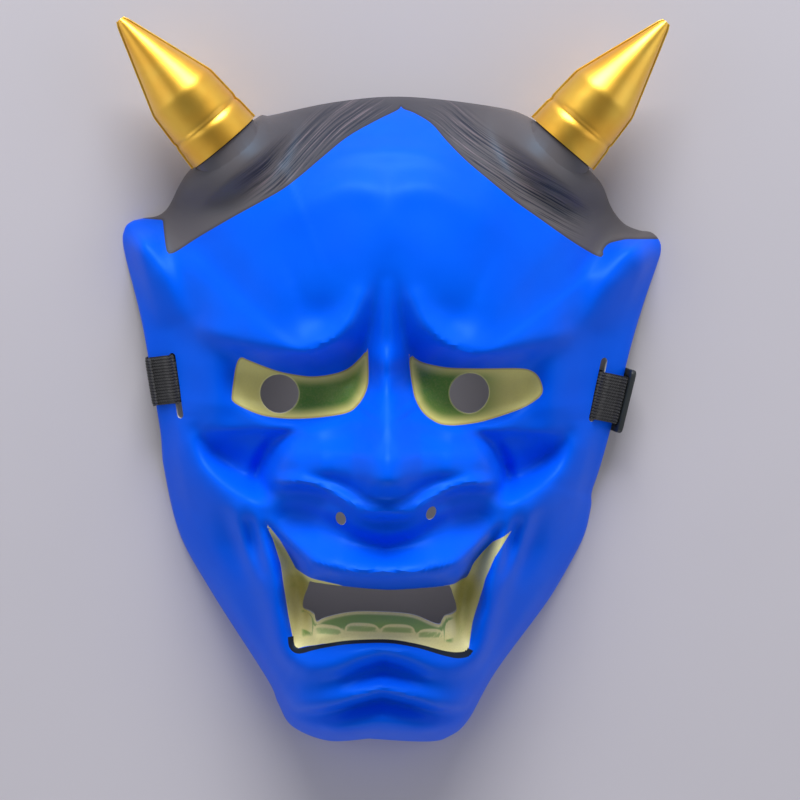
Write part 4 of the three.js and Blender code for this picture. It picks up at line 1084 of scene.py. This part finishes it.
class Finish:
    """A procedural material around one shader; also used for the world."""

    def __init__(self, material, shader="Principled BSDF", **constants):
        material.use_nodes = True
        self.material = material
        self.tree = material.node_tree
        self.shader = self.tree.nodes[shader]
        for socket, value in constants.items():
            self.shader.inputs[socket.replace("_", " ")].default_value = value

    def node(self, kind, settings, sockets, output=0):
        """Adds a node: its settings first, then the values or wires of its sockets."""
        node = self.tree.nodes.new("ShaderNode" + kind)
        for setting, value in settings.items():
            setattr(node, setting, value)
        for key, value in sockets.items():
            if isinstance(value, Wire):
                self.tree.links.new(value.socket, node.inputs[key])
            else:
                node.inputs[key].default_value = value
        return Wire(self, node.outputs[output])

    def feed(self, socket, wire):
        self.tree.links.new(wire.socket, self.shader.inputs[socket])

    def attribute(self, name):
        return self.node("Attribute", {"attribute_name": name}, {}, "Fac")

    def place(self):
        return self.node("TexCoord", {}, {}, "Object")

    def part(self, vector, axis):
        """One part of a vector: 0 is X, 1 is Y and 2 is Z."""
        return self.node("SeparateXYZ", {}, {0: vector}, axis)

    def noise(self, vector, scale, detail=2.0, roughness=0.5):
        sockets = {"Vector": vector, "Scale": scale, "Detail": detail, "Roughness": roughness}
        return self.node("TexNoise", {}, sockets, "Fac")

    def step(self, wire, low, high, start=0.0, end=1.0):
        """Smooth change from start to end as the wire goes from low to high."""
        sockets = {"Value": wire, "From Min": low, "From Max": high, "To Min": start, "To Max": end}
        return self.node("MapRange", {"interpolation_type": "SMOOTHSTEP"}, sockets)

    def blend(self, factor, first, second):
        """Colour that goes from the first to the second as the factor goes from 0 to 1."""
        return self.node("Mix", {"data_type": "RGBA"}, {0: factor, 6: first, 7: second}, 2)

    def printed(self, name):
        """Mask of a printed area, from its noted depth, with a slightly soft edge."""
        return self.step(self.attribute(name), -PRINT_EDGE, PRINT_EDGE)

    def vector(self, x, y, z):
        return self.node("CombineXYZ", {}, {0: x, 1: y, 2: z})

    def bump(self, height, distance):
        self.feed("Normal", self.node("Bump", {}, {"Height": height, "Distance": distance}))


def hair_print(finish, mottle):
    """Charcoal hair with painted shade round the crown, fine locks beside the parting and a dark lower edge.
    """
    depth = finish.attribute("hair")
    along = finish.attribute("hair_along")
    left_locks = finish.step(along, 12, 20) * finish.step(along, 42, 34)
    right_locks = finish.step(along, 52, 60) * finish.step(along, 84, 76)
    patch = (left_locks + right_locks) * finish.step(depth, 0.4, 2) * finish.step(depth, 17, 9)
    lock = finish.vector(along * 0.022 + depth * 0.01, depth * 0.5 - along * 0.16, 0.0)
    streaks = finish.noise(lock, 3.2, 5, 0.62)
    # Painted shade: the hair is darkened round the crown, where the key light falls most strongly
    from_crown = abs(along - HAIR_CROWN) + mottle * 6
    hair = finish.blend(finish.step(from_crown, 8, 36), HAIR_CROWN_PAINTED_SHADE, HAIR)
    hair = finish.blend(patch * finish.step(streaks, 0.52, 0.4), hair, HAIR_EDGE)
    hair = finish.blend(patch * finish.step(streaks, 0.54, 0.68), hair, HAIR_LIGHT)
    return finish.blend(finish.step(depth, 1.2, 0.0) * 0.6, hair, HAIR_EDGE)


def eye_print(finish, outwards, cloud, grain):
    """Gold eyes that turn green towards the nose, with a darker rim and a pale ring round each hole."""
    depth = finish.attribute("eyes")
    green = finish.step(depth, 0.3, 4.2) * finish.step(outwards, 0.045, 0.028)
    eyes = finish.blend(green * (0.8 + cloud * 0.3), EYE_TAN, EYE_GREEN)
    eyes = finish.blend(finish.step(depth, 0.9, 0.2) * 0.6, eyes, EYE_EDGE)
    eyes = finish.blend(grain, eyes, EYE_GOLD)
    return finish.blend(finish.step(finish.attribute("eye_rims"), 0.6, 0.2) * 0.5, eyes, TOOTH_LIGHT)


def mouth_print(finish, outwards, up, cloud, grain):
    """Gold mouth with green gums, painted shade in green over its hollows, and the pale teeth over them."""
    lower = finish.step(up, -0.0760, -0.0790) * finish.step(outwards, 0.0275, 0.0255)
    edge = finish.step(finish.attribute("opening_edge"), 1.3, 0.5) * finish.step(up, -0.0700, -0.0760)
    above_line = finish.attribute("lip_line")
    gum_line = finish.step(above_line, 4.6, 3.4) * finish.step(above_line, -0.2, 0.2)
    # Painted shade: green where the surface is sunk below its surroundings
    mouth = finish.blend(finish.step(finish.attribute("relief"), -0.5, -2.0) * 0.4, MOUTH_TAN, MOUTH_GREEN)
    mouth = finish.blend(finish.step(cloud, 0.35, 0.7) * 0.4, mouth, MOUTH_GOLD)
    mouth = finish.blend(lower, mouth, MOUTH_GREEN)
    mouth = finish.blend(edge, mouth, TOOTH_LIGHT)
    mouth = finish.blend(gum_line, mouth, TOOTH_LIGHT)
    # Printed teeth, pale, their tops a painted highlight; the green patch in each is painted shade
    mouth = finish.blend(finish.step(finish.attribute("teeth"), -0.2, 0.25), mouth, TOOTH_LIGHT)
    patches = finish.step(finish.attribute("tooth_painted_shade"), -0.3, 0.5) * 0.8
    mouth = finish.blend(patches, mouth, MOUTH_GREEN)
    return finish.blend(grain, mouth, EYE_GOLD)


def lip_line_mask(finish):
    """Where the black line is printed under the teeth."""
    off_line = abs(finish.attribute("lip_line"))
    across = finish.step(finish.attribute("lip_half") - off_line, -0.1, 0.1)
    return across * finish.step(finish.attribute("lip_ends"), -0.1, 0.3)


def painted_plastic():
    """Blue shell with the printed hair band, gold eyes, gold mouth and black lip line."""
    finish = Finish(bpy.data.materials.new("painted_shell_plastic"), Roughness=0.4, IOR=1.46,
                    Specular_IOR_Level=0.3, Specular_Tint=(0.15, 0.55, 1, 1))
    place = finish.place()
    mottle = finish.noise(place, 38, 3)
    cloud = finish.noise(place, 70, 3)
    grain = finish.step(finish.noise(place, 1400, 2), 0.35, 0.75) * 0.12
    outwards = abs(finish.part(place, 0))
    up = finish.part(place, 1)
    hair_mask = finish.printed("hair")
    eye_mask = finish.printed("eyes")
    mouth_mask = finish.printed("mouth")

    base = finish.blend(finish.step(mottle, 0.3, 0.7), BLUE_DEEP, BLUE)
    base = finish.blend(hair_mask, base, hair_print(finish, mottle))
    base = finish.blend(eye_mask, base, eye_print(finish, outwards, cloud, grain))
    base = finish.blend(mouth_mask, base, mouth_print(finish, outwards, up, cloud, grain))
    finish.feed("Base Color", finish.blend(lip_line_mask(finish), base, LINE_BLACK))

    gold_mask = finish.step(eye_mask + mouth_mask, 0.0, 1.0)
    finish.feed("Roughness", 0.40 + 0.05 * finish.noise(place, 160, 3) + 0.04 * hair_mask + 0.1 * gold_mask)
    finish.feed("Metallic", 0.1 * gold_mask)
    finish.bump(finish.noise(place, 1500, 2) * 0.12 + finish.noise(place, 45, 2) * 0.9, 0.00012)
    return finish.material


def bare_plastic():
    """White plastic of the inside and of the cut edges."""
    finish = Finish(bpy.data.materials.new("bare_white_plastic"), Roughness=0.45, IOR=1.46)
    place = finish.place()
    cloud = finish.noise(place, 30, 4)
    finish.feed("Base Color", finish.blend(finish.step(cloud, 0.3, 0.7), WHITE_SHADE, WHITE))
    finish.feed("Roughness", 0.4 + 0.15 * cloud)
    finish.bump(finish.noise(place, 700, 3), 0.00008)
    return finish.material


def gold_plastic():
    """Satin metallised plastic of the horns."""
    finish = Finish(bpy.data.materials.new("satin_gold_plastic"), Metallic=1.0, Roughness=0.38,
                    Coat_Weight=0.4, Coat_Roughness=0.25)
    place = finish.place()
    cloud = finish.noise(place, 55, 3)
    finish.feed("Base Color", finish.blend(finish.step(cloud, 0.3, 0.7), GOLD_DEEP, GOLD))
    finish.feed("Roughness", 0.34 + 0.12 * finish.noise(place, 140, 4))
    finish.bump(finish.noise(place, 60, 2) + 0.05 * finish.noise(place, 1800, 2), 0.00025)
    return finish.material


def elastic_webbing():
    """Black ribbed elastic: ribs along the strap, crossed by fine weft threads."""
    finish = Finish(bpy.data.materials.new("black_elastic_webbing"), Roughness=0.85,
                    Sheen_Weight=0.25, Sheen_Roughness=0.4)
    weave = finish.node("UVMap", {"uv_map": "weave"}, {})
    ribs = (finish.part(weave, 1) * (math.tau / STRAP_RIB_PITCH)).cosine()
    picks = (finish.part(weave, 0) * (math.tau / STRAP_PICK_PITCH)).cosine()
    weft = ribs * picks
    fuzz = finish.noise(finish.place(), 1400, 3)
    shade_share = finish.step(weft + fuzz, -0.6, 1.6)
    finish.feed("Base Color", finish.blend(shade_share, WEBBING_DARK, WEBBING))
    finish.feed("Roughness", 0.78 + 0.15 * fuzz)
    finish.bump(weft * 0.5 + ribs * 0.5 + fuzz * 0.4, 0.0002)
    return finish.material


def black_plastic():
    """Moulded black plastic of the slider."""
    finish = Finish(bpy.data.materials.new("black_slider_plastic"), IOR=1.5, Roughness=0.42)
    place = finish.place()
    finish.feed("Base Color", finish.blend(finish.noise(place, 200, 3), SLIDER_DARK, SLIDER))
    finish.feed("Roughness", 0.36 + 0.18 * finish.noise(place, 500, 3))
    finish.bump(finish.noise(place, 1600, 2), 0.00006)
    return finish.material


def pale_board():
    """Pale matt board of the floor."""
    finish = Finish(bpy.data.materials.new("pale_floor"), Roughness=0.7)
    finish.feed("Base Color", finish.blend(finish.noise(finish.place(), 6, 3), FLOOR_SHADE, FLOOR))
    return finish.material


def surroundings():
    """A soft room: darker straight overhead than round about."""
    world = bpy.data.worlds.new("studio")
    bpy.context.scene.world = world
    room = Finish(world, "Background", Color=(0.95, 0.96, 1.0, 1))
    height = room.part(room.node("TexCoord", {}, {}, "Generated"), 2)
    room.feed("Strength", room.step(height, 0.35, 0.97, 0.52, 0.16))


def soft_light(name, place, aim, size, watts, tint):
    data = bpy.data.lights.new(name, "AREA")
    data.shape = "RECTANGLE"
    data.size, data.size_y = size
    data.energy = watts
    data.color = tint
    light = bpy.data.objects.new(name, data)
    light.location = place
    light.rotation_euler = (Vector(aim) - Vector(place)).to_track_quat("-Z", "Y").to_euler()
    bpy.context.scene.collection.objects.link(light)


def set_camera():
    """The photo's view: near straight on, a little from the forehead side, and rolled."""
    back = Vector((-math.sin(CAMERA_YAW) * math.cos(CAMERA_PITCH), math.sin(CAMERA_PITCH),
                   math.cos(CAMERA_YAW) * math.cos(CAMERA_PITCH)))
    level = (-back).cross(Vector((0, 1, 0))).normalized()
    plumb = level.cross(-back)
    right = level * math.cos(CAMERA_ROLL) + plumb * math.sin(CAMERA_ROLL)
    up = plumb * math.cos(CAMERA_ROLL) - level * math.sin(CAMERA_ROLL)
    data = bpy.data.cameras.new("camera")
    data.sensor_width = SENSOR_WIDTH
    data.lens = CAMERA_FOCAL_PIXELS * SENSOR_WIDTH / PHOTO_PIXELS
    camera = bpy.data.objects.new("camera", data)
    place = (CAMERA_TARGET + FACE_ORIGIN + back * CAMERA_DISTANCE) * MM
    turn = Matrix((right, up, back)).transposed().to_4x4()
    camera.matrix_world = Matrix.Translation(place) @ turn
    bpy.context.scene.collection.objects.link(camera)
    bpy.context.scene.camera = camera


set_camera()

shell = carved_shell((painted_plastic(), bare_plastic()))
note_paint(shell)
shade(shell, math.radians(40))

gold = gold_plastic()
left_horn, right_horn = (gold_horn(side, (gold,)) for side in (-1, 1))
shade(left_horn, math.radians(35))
shade(right_horn, math.radians(35))

strap = webbing_strap((elastic_webbing(),))
shade(strap, math.radians(50))

slider = slider_buckle((black_plastic(),))
shade(slider, math.radians(30))

for piece, node, slot in (
    (shell, "mask_shell", "shell_plastic"),
    (left_horn, "horn_left", "gold_plastic"),
    (right_horn, "horn_right", "gold_plastic"),
    (strap, "elastic_strap", "black_webbing"),
    (slider, "strap_slider", "black_plastic"),
):
    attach(piece, "root")
    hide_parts(node)

board = bmesh.new()
bmesh.ops.create_grid(board, x_segments=4, y_segments=4, size=FLOOR_HALF_WIDTH)
floor = link("floor", board, (pale_board(),))

surroundings()
for light in LIGHTS:
    soft_light(*light)

bpy.context.scene.view_settings.view_transform = "Standard"
